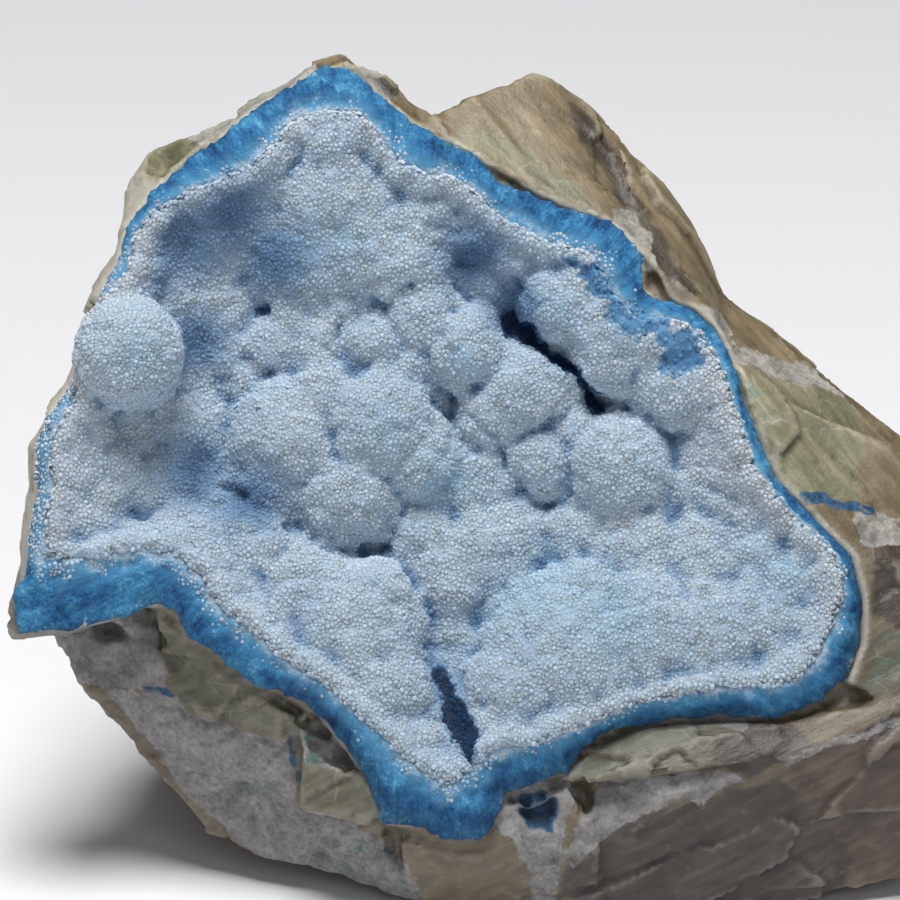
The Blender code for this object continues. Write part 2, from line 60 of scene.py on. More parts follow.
MM = 0.001
BODY = "root"
FAR = 99.0

# The face frame in the world, as the solids were drawn
LEAN = math.radians(20)
FACE_ORIGIN = Vector((-0.00413, -0.01557, 0.046))
TO_WORLD = Matrix.Translation(FACE_ORIGIN) @ Matrix.Rotation(-LEAN, 4, "X") @ Matrix.Scale(MM, 4)
TO_FACE = TO_WORLD.inverted()

# The view of the photograph: 90 mm of the face across its width
VIEW_DISTANCE = 0.9
VIEW_LENS = 360.0
VIEW_SENSOR = 36.0

# Fineness of the surfaces, and the share of its faces that each keeps when hidden ones are thinned
ROCK_VOXEL = 0.5
LINING_VOXEL = 0.42
SKIN_VOXEL = 0.45
ROCK_KEPT = 0.55
LINING_KEPT = 0.45
SKIN_KEPT = 0.7

# The base's height that stays flat, and the room left inside the solids' box
BASE_HEIGHT = 0.35
BOX_MARGIN = 0.02

# Grains of the druse: radius and height vary by these shares, and lean by a random tilt
GRAIN_SPACING = 0.31
GRAIN_RADIUS = 0.235
GRAIN_SIZES = (0.62, 1.45)
GRAIN_HEIGHTS = (0.7, 1.4)
GRAIN_TILT = 0.30
GRAIN_SIDES = 6
GRAIN_PIECES = 4
GRAIN_SEED = 11
TRIES_PER_PLACE = 4.0

# The finer grains on the blue band: how far across it they reach, and where they cover it all
FRINGE_SEED = 23
FRINGE_PIECES = 2
FRINGE_WIDTH = 0.42
FRINGE_SCALE = 0.74
FRINGE_SPACING = 0.33
GROWN_OVER_X = (-31.0, -34.0)
GROWN_OVER_Z = (-12.5, -9.5)


def to_face(points):
    turn = np.array(TO_FACE)
    return points @ turn[:3, :3].T + turn[:3, 3]


def to_world(points):
    turn = np.array(TO_WORLD)
    return points @ turn[:3, :3].T + turn[:3, 3]


def smoothstep(low, high, values):
    t = np.clip((values - low) / (high - low), 0.0, 1.0)
    return t * t * (3.0 - 2.0 * t)


# Noise of our own, so that a whole mesh is read at once
def lattice(cell, seed):
    """A number from 0 to 1 for each whole-numbered cell."""
    mixed = cell[..., 0] * 73856093 ^ cell[..., 1] * 19349663 ^ cell[..., 2] * 83492791 ^ seed * 668265263
    mixed = mixed & 0xFFFFFFFF
    mixed = ((mixed ^ (mixed >> 15)) * 2246822519) & 0xFFFFFFFF
    mixed = ((mixed ^ (mixed >> 13)) * 3266489917) & 0xFFFFFFFF
    return ((mixed ^ (mixed >> 16)) & 0xFFFFFF) / float(0xFFFFFF)


def noise(points, size, seed, octaves=1):
    """Smooth noise from about -1 to 1, with features as large as size."""
    total, weight, share = np.zeros(len(points)), 0.0, 1.0
    for octave in range(octaves):
        place = points / size * 2.0 ** octave + 19.7 * octave + 0.37 * seed
        cell = np.floor(place).astype(np.int64)
        part = place - cell
        part = part ** 3 * (part * (part * 6.0 - 15.0) + 10.0)
        value = np.zeros(len(points))
        for corner in range(8):
            step = np.array([corner & 1, corner >> 1 & 1, corner >> 2 & 1])
            blend = np.prod(np.where(step, part, 1.0 - part), axis=1)
            value += blend * lattice(cell + step, seed + octave)
        total += share * (value * 2.0 - 1.0)
        weight += share
        share *= 0.5
    return total / weight


def cells(points, size, seed):
    """The distance and the way to the nearest seed point, and its own number from 0 to 1."""
    place = points / size
    home = np.floor(place).astype(np.int64)
    best = np.full(len(points), FAR)
    way = np.zeros_like(points)
    number = np.zeros(len(points))
    for i in range(27):
        cell = home + np.array([i % 3 - 1, i // 3 % 3 - 1, i // 9 - 1])
        jitter = np.stack([lattice(cell, seed + k) for k in range(3)], axis=1)
        offset = place - cell - jitter
        far = np.linalg.norm(offset, axis=1)
        nearer = far < best
        best = np.where(nearer, far, best)
        way[nearer] = offset[nearer]
        number[nearer] = lattice(cell, seed + 7)[nearer]
    return best * size, way * size, number


# Mesh helpers
def new_piece(name, mesh, slot, *nodes):
    piece = bpy.data.objects.new(name, mesh)
    bpy.context.scene.collection.objects.link(piece)
    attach(piece, BODY)
    if nodes:
        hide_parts(*nodes)
    return piece


def remeshed(mesh, name, voxel):
    """A copy of a mesh, made of even small faces."""
    holder = holder_for(mesh.copy(), name)
    holder.data.materials.clear()
    step = holder.modifiers.new("even", "REMESH")
    step.mode = "VOXEL"
    step.voxel_size = voxel * MM
    return baked(holder)


def thinned(mesh, share, hidden):
    """A mesh that keeps a share of its faces, and loses the rest at the points marked as hidden."""
    holder = holder_for(mesh, mesh.name)
    group = holder.vertex_groups.new(name="hidden")
    group.add([int(i) for i in np.flatnonzero(hidden)], 1.0, "REPLACE")
    step = holder.modifiers.new("thin", "DECIMATE")
    step.ratio = share
    step.vertex_group = "hidden"
    step.vertex_group_factor = 1.0
    return baked(holder)


def holder_for(mesh, name):
    """A working object that holds a mesh."""
    mesh.name = name
    holder = bpy.data.objects.new(name + "_working", mesh)
    bpy.context.scene.collection.objects.link(holder)
    return holder


def baked(holder):
    """The mesh that a working object's modifiers make; the object goes."""
    bpy.context.view_layer.update()
    shaped = holder.evaluated_get(bpy.context.evaluated_depsgraph_get())
    mesh = bpy.data.meshes.new_from_object(shaped)
    mesh.name = holder.data.name
    bpy.data.objects.remove(holder)
    return mesh


def fetched(items, name, width, kind=np.float64):
    """An array of what each item holds under a name, one row each."""
    found = np.empty(len(items) * width, kind)
    items.foreach_get(name, found)
    return found.reshape(-1, width)


def read(mesh):
    return fetched(mesh.vertices, "co", 3)


def write(mesh, points):
    mesh.vertices.foreach_set("co", points.ravel())
    mesh.update()


def normals_of(mesh):
    """The points' normals, turned into the face frame."""
    turn = np.array(TO_FACE.to_3x3()) * MM
    return fetched(mesh.vertex_normals, "vector", 3) @ turn.T


def edges_of(mesh):
    return fetched(mesh.edges, "vertices", 2, np.int64)


def relaxed(values, edges, rounds):
    """Values drawn half way to the mean of their neighbours, some rounds over."""
    values = values.copy()
    count = np.bincount(edges.ravel(), minlength=len(values)).astype(float)
    count = np.maximum(count, 1.0)
    for _ in range(rounds):
        for axis in range(values.shape[1]):
            column = values[:, axis]
            total = np.bincount(edges[:, 0], column[edges[:, 1]], len(values))
            total += np.bincount(edges[:, 1], column[edges[:, 0]], len(values))
            values[:, axis] += 0.5 * (total / count - column)
    return values


def keep_in_box(points, margin=BOX_MARGIN):
    """World points, held inside the solids' box."""
    low, high = (np.array(corner) for corner in cad_box)
    return np.clip(points, low + margin * MM, high - margin * MM)


def keep_base(points, was):
    """World points, with the flat base left as it was."""
    base = was[:, 2] < BASE_HEIGHT * MM
    points[base] = was[base]
    return points


def store(mesh, name, values):
    attribute = mesh.attributes.new(name, "FLOAT", "POINT")
    attribute.data.foreach_set("value", np.ascontiguousarray(values, np.float32))


def shade(mesh, smooth):
    mesh.polygons.foreach_set("use_smooth", np.full(len(mesh.polygons), smooth))
    mesh.update()


def surface_tree(node):
    """A search tree of a solid's faces, in the face frame, to find how far away they are."""
    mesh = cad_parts[node].data
    points = to_face(read(mesh))
    faces = [tuple(face.vertices) for face in mesh.polygons]
    return BVHTree.FromPolygons([Vector(p) for p in points], faces)


def distances(tree, points):
    return np.array([tree.find_nearest(Vector(p))[3] for p in points])


ROCK = surface_tree("quartz_matrix")
BLUE = surface_tree("shattuckite_lining")
CRUST = surface_tree("quartz_druse_crust")

# Patches of the quartz, each a kind and the corners of its outline: x, z
AREAS = (
    ("olive", (29, 8.5), (38, 6.3), (41.5, 5.2), (41.8, 0), (41, -5), (35, -5.4), (32, -3),
     (29.4, 3), (28.2, 6)),
    ("clay", (27.4, 10.8), (31, 10), (35, 8.6), (38.5, 7.3), (43, 5.8), (47, 3.8), (46.4, 2.9),
     (42.6, 4.6), (38, 6.1), (34, 6.9), (30.6, 8.3), (27.8, 8.8)),
    ("clay", (16, 24.4), (18, 24), (20, 21.8), (20.8, 18.2), (18.8, 17.8), (17, 21)),
    ("clay", (24.8, 14.4), (27.2, 13.8), (28.8, 10.6), (27.2, 10.2), (25.2, 11.8)),
    ("olive", (-0.5, 30.6), (5, 29.2), (10, 25.6), (15, 24), (12.4, 27), (6, 31.4), (1.4, 32.6)),
    ("olive", (-34.4, 19), (-34.2, 28.5), (-30.5, 32), (-26.2, 32.6), (-25.2, 30.2), (-28, 28),
     (-31, 24.4), (-32.6, 21.6)),
    ("clay", (-26.8, 31.6), (-24.6, 33.2), (-20.6, 36), (-18.6, 37.2), (-13.2, 39.6), (-13.8, 37.8),
     (-18.4, 34.8), (-20.4, 33), (-25, 30.8)),
    ("clay", (-10.6, 39.6), (-8, 39), (-6.6, 37.6), (-5.2, 35.6), (-6, 34.6), (-8.2, 37)),
    ("brown", (15.6, 28), (18.4, 26.2), (22.4, 20), (25.4, 15.5), (23.6, 15.2), (20.4, 19),
     (17.2, 24.4)),
    ("brown", (12.2, 35.4), (14.6, 33.4), (18.2, 27.6), (16.2, 27.2), (13, 31.2)),
    ("olive", (12, -31.4), (17, -28.6), (21, -27.3), (25, -27), (27, -28.4), (26.4, -30.6),
     (24.4, -32.6), (19, -32.9), (12.6, -33)),
    ("brown", (27, -28.4), (29.5, -27.6), (34.5, -27.6), (36.8, -29.4), (30, -32.6), (26, -32)),
    ("clay", (23.8, -26.4), (26.6, -26), (29.8, -26.8), (29.6, -28.1), (26.8, -27.5), (24.2, -27.8)),
    ("clay", (15, -32.9), (20, -32.8), (24.6, -33.2), (23.2, -35), (20, -36.4), (16.4, -38),
     (12.2, -41.8), (11.2, -40.4), (13.4, -36.8)),
    ("clay", (22.4, -32.4), (27, -32.2), (29.6, -32.9), (26.6, -34.2), (25.4, -35.8), (23.6, -34.4)),
    ("clay", (6, -38.4), (8.6, -39.2), (10.6, -38.2), (11.2, -41), (10.4, -46.5), (8, -46.5),
     (8.2, -42.2), (6.6, -40.2)),
    ("clay", (4.4, -35.6), (6.8, -33.6), (11.6, -32.8), (12.8, -35), (11.2, -38.8), (7.6, -39.8),
     (5, -38.6)),
    ("brown", (13.6, -37.6), (18.4, -36.6), (24.2, -35.2), (27, -34.4), (33, -33), (38, -36),
     (41, -40), (39, -46), (34, -47.5), (10.6, -47.5), (11.4, -41.6)),
    ("red", (33.6, -31.4), (38.6, -28.9), (46, -26.2), (53, -25.6), (54, -40), (44, -47),
     (40, -40.4), (36, -36.2)),
    ("clay", (33.4, -31.9), (38, -29.7), (42, -28.9), (45.6, -27.5), (53, -25.9), (53, -25),
     (45.4, -26.6), (41.8, -28), (37.6, -28.9), (33.2, -31.1)),
    ("olive", (41.4, -22.6), (42, -19.6), (44.6, -17.8), (51, -18.2), (54, -24), (46, -23.8),
     (43, -25), (40.4, -24.8)),
    ("brown", (42.4, -9.6), (45, -8.8), (53, -10), (54, -17), (45.6, -18), (42.2, -16.4)),
    ("clay", (40.2, -5.9), (45.4, -6.9), (52, -8.4), (50, -9.9), (45, -9.4), (41.6, -9.6)),
    ("clay", (-41.6, -16.8), (-31.6, -15.2), (-29.4, -18), (-28.4, -24.2), (-33, -24), (-37.6, -23.6)),
    ("olive", (-31.6, -15), (-29.4, -15.4), (-27.2, -18.2), (-23.2, -21.4), (-18, -24.4),
     (-12.6, -27), (-14.4, -29.4), (-18.4, -28.2), (-24, -27.4), (-27.2, -26.2), (-28.6, -22)),
    ("clay", (-35, -24.2), (-27.4, -24.4), (-26.6, -26.4), (-22, -27.9), (-16.6, -29.2),
     (-15.6, -31), (-15.4, -36), (-11, -36.9), (-6.4, -39.4), (-4, -42), (-1.6, -47.5),
     (-6, -47.5), (-12, -43.8), (-17.4, -42.2), (-22.6, -39.6), (-26.6, -35.4), (-29.6, -30.4)),
    ("olive", (-15, -31.4), (-8.4, -31.4), (-5.6, -35.2), (-6.2, -38.4), (-11, -36.6), (-15.2, -36)),
    ("clay", (-14.8, -28), (-12, -27.2), (-8.4, -31.9), (-14.6, -31.5)),
    ("blue", (-31.4, -23.9), (-28.6, -23.8), (-26.8, -25), (-28.8, -24.5), (-31.2, -24.4)),
    ("blue", (-16.5, -28.8), (-15.9, -28.8), (-14.8, -33.4), (-15.3, -33.6)),
    ("blue", (33.6, -3.8), (37.6, -4.4), (42.2, -5.8), (42.8, -6.9), (37.8, -5.5), (34.2, -5.2)),
    ("blue", (6.5, -36.2), (7.2, -34.5), (9.4, -34), (11, -34.8), (11.3, -36.4), (10.2, -38),
     (7.8, -38)),
    ("teal", (-16.6, -28), (-13.4, -27.6), (-12, -30), (-14, -33), (-15.8, -33)),
    ("teal", (-13, -38), (-7, -39), (-3, -44), (-9, -43.6), (-14, -41)),
    ("teal", (-22, -33), (-17, -33), (-17, -37), (-23, -37)),
    ("teal", (42, -20), (45, -18.2), (49, -19.2), (46, -23), (42.6, -23.6)),
    ("teal", (27, 7), (31, 6.6), (32.4, 3), (29.6, 2)),
)
KINDS = ("clay", "olive", "brown", "red", "teal", "blue")

# Patches fade out by this depth, over this length, and distances to their borders stop at this limit
MARK_DEPTH = 15.0
MARK_FADE = 4.0
FIELD_LIMIT = 4.0


def line_gap(x, z, places):
    """How far each place lies from a broken line, in millimetres."""
    nearest = np.full(len(x), FAR)
    for (ax, az), (bx, bz) in zip(places, places[1:]):
        wide, high = bx - ax, bz - az
        along = np.clip(((x - ax) * wide + (z - az) * high) / (wide * wide + high * high), 0.0, 1.0)
        nearest = np.minimum(nearest, np.hypot(x - ax - along * wide, z - az - along * high))
    return nearest


def outline_depth(x, z, corners):
    """How far inside an outline each place lies, in millimetres; below 0 outside it."""
    closed = [*corners, corners[0]]
    inside = np.zeros(len(x), bool)
    for (ax, az), (bx, bz) in zip(closed, closed[1:]):
        crossed = (az > z) != (bz > z)
        reach = ax + (z - az) * (bx - ax) / (bz - az) if bz != az else ax
        inside ^= crossed & (x < reach)
    nearest = line_gap(x, z, closed)
    return np.where(inside, nearest, -nearest)


def area_fields(points):
    """For each kind, how far inside its patches each point lies, in millimetres."""
    fields = {kind: np.full(len(points), -FIELD_LIMIT) for kind in KINDS}
    front = np.flatnonzero(points[:, 1] < MARK_DEPTH)
    some = points[front]
    x = some[:, 0] + 0.45 * noise(some, 2.2, 5, 2)
    z = some[:, 2] + 0.45 * noise(some, 2.2, 6, 2)
    for kind, *corners in AREAS:
        depth = outline_depth(x, z, corners)
        fields[kind][front] = np.maximum(fields[kind][front], depth)
    fade = FIELD_LIMIT * smoothstep(MARK_DEPTH - MARK_FADE, MARK_DEPTH, points[:, 1])
    return {kind: np.clip(field - fade, -FIELD_LIMIT, FIELD_LIMIT) for kind, field in fields.items()}


# Node helpers
def colour(red, green, blue):
    """A colour from its numbers on a screen, 0 to 255, as light."""
    parts = [v / 255.0 for v in (red, green, blue)]
    return (*[v / 12.92 if v <= 0.04045 else ((v + 0.055) / 1.055) ** 2.4 for v in parts], 1.0)


class Finish:
    """A material under way: its nodes, with short ways to add them."""

    def __init__(self, name):
        self.material = bpy.data.materials.new(name)
        self.material.use_nodes = True
        self.tree = self.material.node_tree
        self.shader = self.tree.nodes["Principled BSDF"]

    def put(self, node, inputs):
        """Sets a node's inputs, by name with _ for each space or by number, or links sockets to them."""
        for key, value in inputs.items():
            socket = node.inputs[key.replace("_", " ") if isinstance(key, str) else key]
            if isinstance(value, bpy.types.NodeSocket):
                self.tree.links.new(value, socket)
            else:
                socket.default_value = value
        return node

    def new(self, kind, **inputs):
        return self.put(self.tree.nodes.new("ShaderNode" + kind), inputs)

    def set(self, **inputs):
        self.put(self.shader, inputs)

    def read(self, name):
        node = self.new("Attribute")
        node.attribute_name = name
        return node.outputs["Fac"]

    def math(self, operation, first, second=0.0):
        node = self.new("Math")
        node.operation = operation
        return self.put(node, {0: first, 1: second}).outputs[0]

    def add(self, first, second):
        return self.math("ADD", first, second)

    def times(self, first, second):
        return self.math("MULTIPLY", first, second)

    def weighted(self, *pairs):
        """The sum of some values, each times its weight."""
        total, *others = (self.times(value, weight) for value, weight in pairs)
        for other in others:
            total = self.add(total, other)
        return total

    def swing(self, value, amount):
        """How far a value lies from a half, times an amount."""
        return self.times(self.math("SUBTRACT", value, 0.5), amount)

    def step(self, value, low, high):
        """A soft step from 0 at low to 1 at high, which may be the smaller."""
        node = self.new("MapRange", Value=value, From_Min=low, From_Max=high)
        node.interpolation_type = "SMOOTHSTEP"
        return node.outputs["Result"]

    def place(self):
        """The place in the face frame, in millimetres."""
        vector = self.new("TexCoord").outputs["Object"]
        node = self.new("Mapping", Vector=vector, Location=TO_FACE.translation,
                        Rotation=(LEAN, 0.0, 0.0), Scale=(1.0 / MM,) * 3)
        return node.outputs["Vector"]

    def along(self, vector, degrees, squeeze):
        """The place drawn out along a direction on the face, for marks longer than they are wide."""
        node = self.new("Mapping", Vector=vector, Rotation=(0.0, -math.radians(degrees), 0.0),
                        Scale=(1.0 / squeeze, 2.0, 1.0))
        node.vector_type = "TEXTURE"
        return node.outputs["Vector"]

    def vector(self, x, y, z):
        return self.new("CombineXYZ", X=x, Y=y, Z=z).outputs["Vector"]

    def noise(self, vector, scale, detail=3.0, rough=0.55, warp=0.0):
        node = self.new("TexNoise", Vector=vector, Scale=scale, Detail=detail, Roughness=rough,
                        Distortion=warp)
        return node.outputs["Fac"]

    def seams(self, vector, scale):
        """The distance to the borders between cells."""
        node = self.new("TexVoronoi", Vector=vector, Scale=scale)
        node.feature = "DISTANCE_TO_EDGE"
        return node.outputs["Distance"]

    def ramp(self, value, *stops):
        """A colour by a value: each stop is a place and the colour there, as colour() takes it."""
        node = self.new("ValToRGB", Fac=value)
        elements = node.color_ramp.elements
        while len(elements) < len(stops):
            elements.new(0.5)
        for element, (position, *shown) in zip(elements, stops):
            element.position = position
            element.color = colour(*shown)
        return node.outputs["Color"]

    def blend(self, share, first, second):
        """A number between two numbers."""
        return self.put(self.new("Mix"), {0: share, 2: first, 3: second}).outputs[0]

    def mix(self, share, first, second, kind="MIX"):
        """A colour between two colours."""
        node = self.new("Mix")
        node.data_type = "RGBA"
        node.blend_type = kind
        return self.put(node, {0: share, 6: first, 7: second}).outputs[2]

    def bump(self, height, depth, strength, **over):
        """Normals bumped by a height, over other normals if they are given."""
        node = self.new("Bump", Height=height, Distance=depth * MM, Strength=strength, **over)
        return node.outputs["Normal"]


def quartz_finish():
    """Tan, olive and brown quartz with chalky clay, one look for the whole block, with painted shade in its
    hollows and low down.
    """
    f = Finish("quartz_and_clay")
    place = f.place()
    broad = f.noise(place, 0.10, 4.0, 0.6, 0.6)
    mid = f.noise(place, 0.42, 5.0, 0.62, 0.4)
    fine = f.noise(place, 2.2, 5.0, 0.65)
    ragged = f.swing(f.noise(place, 1.1, 4.0, 0.6), 1.1)

    def mask(name, low=-0.10, high=0.12):
        """1 in the patches of a kind, with ragged borders."""
        return f.step(f.add(f.read(name), ragged), low, high)

    above = f.noise(f.along(place, GRAIN_TURNS[0], 0.13), 0.9, 5.0, 0.65, 0.3)
    below = f.noise(f.along(place, GRAIN_TURNS[1], 0.13), 0.9, 5.0, 0.65, 0.3)
    streaks = f.blend(f.read("upper"), below, above)
    tone = f.weighted((broad, 0.35), (mid, 0.2), (streaks, 0.45))
    tan = f.ramp(tone, (0.36, 92, 80, 62), (0.46, 116, 104, 83), (0.54, 130, 118, 96), (0.66, 152, 141, 120))
    olive = f.ramp(tone, (0.36, 84, 84, 66), (0.50, 126, 125, 104), (0.66, 160, 160, 138))
    brown = f.ramp(tone, (0.36, 46, 41, 35), (0.50, 76, 68, 59), (0.62, 106, 98, 88))
    red = f.ramp(tone, (0.36, 66, 54, 45), (0.50, 94, 80, 69), (0.62, 124, 110, 98))
    chalk = f.weighted((mid, 0.5), (fine, 0.5))
    clay = f.ramp(chalk, (0.34, 108, 106, 104), (0.50, 151, 150, 149), (0.66, 188, 187, 186))
    # Painted shade: the olive darker low on the block.
    olive = f.mix(f.read("upper"), f.mix(0.30, olive, colour(58, 57, 44)), olive)
    base = f.mix(mask("olive", -0.5, 0.5), tan, olive)
    base = f.mix(mask("brown", -0.4, 0.4), base, brown)
    base = f.mix(mask("red", -0.6, 0.6), base, red)
    veins = f.seams(f.along(place, -14.0, 0.35), 0.30)
    glassy = f.times(mask("olive", 0.2, 0.9), f.step(veins, 0.016, 0.004))
    glassy = f.times(glassy, f.step(mid, 0.40, 0.50))
    base = f.mix(f.times(glassy, 0.22), base, colour(200, 198, 186))
    cracks = f.math("ABSOLUTE", f.math("SUBTRACT", streaks, 0.5))
    base = f.mix(f.times(f.step(cracks, 0.006, 0.001), 0.35), base, colour(50, 44, 36))
    clays = mask("clay")
    base = f.mix(clays, base, clay)
    teals = f.times(mask("teal", -0.3, 0.5), f.step(f.noise(place, 0.95, 3.0, 0.7), 0.55, 0.62))
    base = f.mix(f.times(teals, 0.7), base, colour(84, 134, 122))
    azure = f.ramp(fine, (0.35, 18, 48, 84), (0.65, 50, 104, 146))
    base = f.mix(mask("blue"), base, azure)
    rim = f.step(f.add(f.read("rim"), f.times(ragged, 0.8)), 0.95, 0.45)
    base = f.mix(f.times(rim, 0.8), base, colour(188, 187, 182))
    # Painted shade: hollows darkened towards brown-black; crests a little paler.
    cavity = f.read("cavity")
    base = f.mix(f.step(cavity, 0.0, -1.0), base, f.mix(0.5, base, colour(38, 33, 27)))
    base = f.mix(f.times(f.step(cavity, 0.1, 1.0), 0.25), base, colour(200, 195, 182))
    # Painted shade: the whole block darker low down than high up.
    painted_low_shade = f.ramp(f.read("upper"), (0.0, 204, 203, 204), (1.0, 240, 236, 225))
    base = f.mix(1.0, base, painted_low_shade, "MULTIPLY")
    rough = f.add(f.times(clays, 0.40), f.add(0.30, f.times(fine, 0.25)))
    relief = f.bump(f.add(f.times(fine, 0.6), streaks), 0.30, 0.6)
    relief = f.bump(f.noise(place, 6.0, 4.0, 0.6), 0.06, 0.5, Normal=relief)
    f.set(Base_Color=base, Roughness=rough, Normal=relief, IOR=1.50)
    return f.material


def blue_finish():
    """Fibrous azure shattuckite: navy mottling, a cyan and white inner fringe, green specks outside, and
    painted shade on its low parts.
    """
    f = Finish("fibrous_azure")
    place = f.place()
    across, along = f.read("across"), f.read("along")
    depth = f.noise(place, 0.4, 2.0)
    tufts = f.vector(f.times(along, 1.5), f.times(across, 1.2), depth)
    fibre = f.noise(tufts, 1.0, 5.0, 0.65, 0.5)
    mottle = f.noise(place, 0.50, 4.0, 0.62, 0.4)
    blotch = f.noise(place, 0.17, 2.0, 0.5)
    fine = f.noise(place, 3.2, 4.0, 0.7)
    tone = f.weighted((fibre, 0.22), (mottle, 0.34), (fine, 0.26), (blotch, 0.18))
    base = f.ramp(tone, (0.40, 12, 48, 90), (0.47, 32, 88, 134), (0.54, 54, 120, 162), (0.62, 102, 160, 192))
    edge = f.add(f.add(across, f.swing(mottle, 0.9)), f.swing(fine, 0.5))
    base = f.mix(f.times(f.step(edge, 0.46, 0.06), 0.7), base, colour(96, 152, 184))
    base = f.mix(f.times(f.step(edge, 0.20, -0.04), 0.85), base, colour(158, 176, 194))
    green = f.times(f.step(edge, 0.76, 0.90), f.step(f.noise(place, 1.1, 2.0), 0.62, 0.67))
    base = f.mix(f.times(green, 0.8), base, colour(60, 106, 72))
    pale = f.times(f.step(edge, 0.94, 1.04), f.step(mottle, 0.45, 0.58))
    base = f.mix(pale, base, colour(176, 178, 174))
    # Painted shade: the band's low parts darkened towards navy.
    base = f.mix(f.times(f.read("low"), 0.55), base, colour(12, 38, 68))
    relief = f.bump(f.add(f.times(mottle, 1.4), f.add(fibre, fine)), 0.30, 0.7)
    f.set(Base_Color=base, Roughness=0.75, Normal=relief, Specular_IOR_Level=0.25)
    return f.material


def druse_finish():
    """Milky sugar-like quartz over blue: a little paler at the grains' tips, bluer between them, with
    painted shade in hollows and gaps.
    """
    f = Finish("milky_druse")
    place = f.place()
    tip, tint = f.read("tip"), f.read("tint")
    drift = f.noise(place, 0.16, 3.0, 0.5)
    tone = f.weighted((tip, 0.14), (tint, 0.16), (drift, 0.70))
    base = f.ramp(tone, (0.20, 144, 167, 192), (0.50, 158, 178, 200), (0.85, 173, 190, 210))
    base = f.mix(f.times(f.read("glow"), 0.38), base, colour(124, 168, 198))
    base = f.mix(f.times(f.read("rim"), 0.65), base, colour(180, 188, 200))
    speck = f.noise(place, 1.6, 2.0, 0.6)
    azure = f.ramp(speck, (0.40, 34, 88, 132), (0.60, 66, 126, 166))
    base = f.mix(f.times(f.read("bare"), 0.88), base, azure)
    # Painted shade: hollows, gaps and spots deep in the pocket darkened towards navy.
    shade_of = f.ramp(f.read("hollow"), (0.0, 255, 255, 255), (0.45, 168, 190, 210),
                      (0.70, 96, 126, 156), (1.0, 30, 58, 86))
    base = f.mix(1.0, base, shade_of, "MULTIPLY")
    f.set(Base_Color=base, Roughness=0.60, Specular_IOR_Level=0.18, Subsurface_Weight=0.85,
          Subsurface_Radius=(0.9, 1.0, 1.2), Subsurface_Scale=0.001, IOR=1.50)
    return f.material


# Fresh breaks: the turn of their grain in degrees, high on the rock and low, and where it changes
GRAIN_TURNS = (-52.0, 27.0)
GRAIN_CHANGE = (-14.0, -4.0)
FLAT_SIZES = ((7.0, 0.10), (2.8, 0.07))

# The blue window in the clay below the band: its middle, half its size and how far it is set back
WINDOW = (8.9, -36.2)
WINDOW_HALF = 4.0
WINDOW_DEPTH = 1.6

# The stretch beside the blue band, from where the quartz is flush with it to its full relief
FLUSH = (0.3, 2.2)

# Hollows and crests are told by how far the rock lies from a smoothed copy of itself
CAVITY_ROUNDS = 6
CAVITY_DEPTH = 0.18

# The rock behind this depth and right of this place is out of the photo's view
BACK_DEPTH = 20.0
RIGHT_END = 47.0

# The rock's upper left, where no pale rim runs beside the blue band
NO_RIM_X = (-28.0, -31.0)
NO_RIM_Z = (-14.0, -12.0)
NO_RIM = 0.85


def broken_relief(points):
    """Height of fresh breaks in the quartz: tilted flats along its grain and fine steps beside them."""
    height = np.zeros(len(points))
    upper = smoothstep(*GRAIN_CHANGE, points[:, 2])
    for degrees, share in zip(GRAIN_TURNS, (upper, 1.0 - upper)):
        turn = math.radians(degrees)
        along = points[:, 0] * math.cos(turn) + points[:, 2] * math.sin(turn)
        beside = points[:, 2] * math.cos(turn) - points[:, 0] * math.sin(turn)
        blades = np.stack([along * 0.40, points[:, 1] * 0.7, beside], axis=1)
        part = np.zeros(len(points))
        for size, tilt in FLAT_SIZES:
            _, way, number = cells(blades, size, int(size * 10))
            angle = number * 2.0 * math.pi
            part += tilt * (way[:, 2] * np.cos(angle) + way[:, 1] * np.sin(angle))
        threads = np.stack([along * 0.12, points[:, 1] * 0.5, beside], axis=1)
        part += 0.16 * (1.0 - 2.0 * np.abs(noise(threads, 1.5, 64, 3)))
        height += share * part
    return height + 0.10 * noise(points, 3.5, 65, 2)


def clay_relief(points):
    """Height of the chalky clay's slanting wrinkles."""
    x, y, z = points.T
    slant = np.stack([x + 0.8 * z, y, z - 0.5 * x], axis=1)
    return 0.75 * noise(slant * (0.5, 1.0, 1.0), 4.2, 61, 3) - 0.40 * np.abs(noise(slant, 2.2, 62, 3))


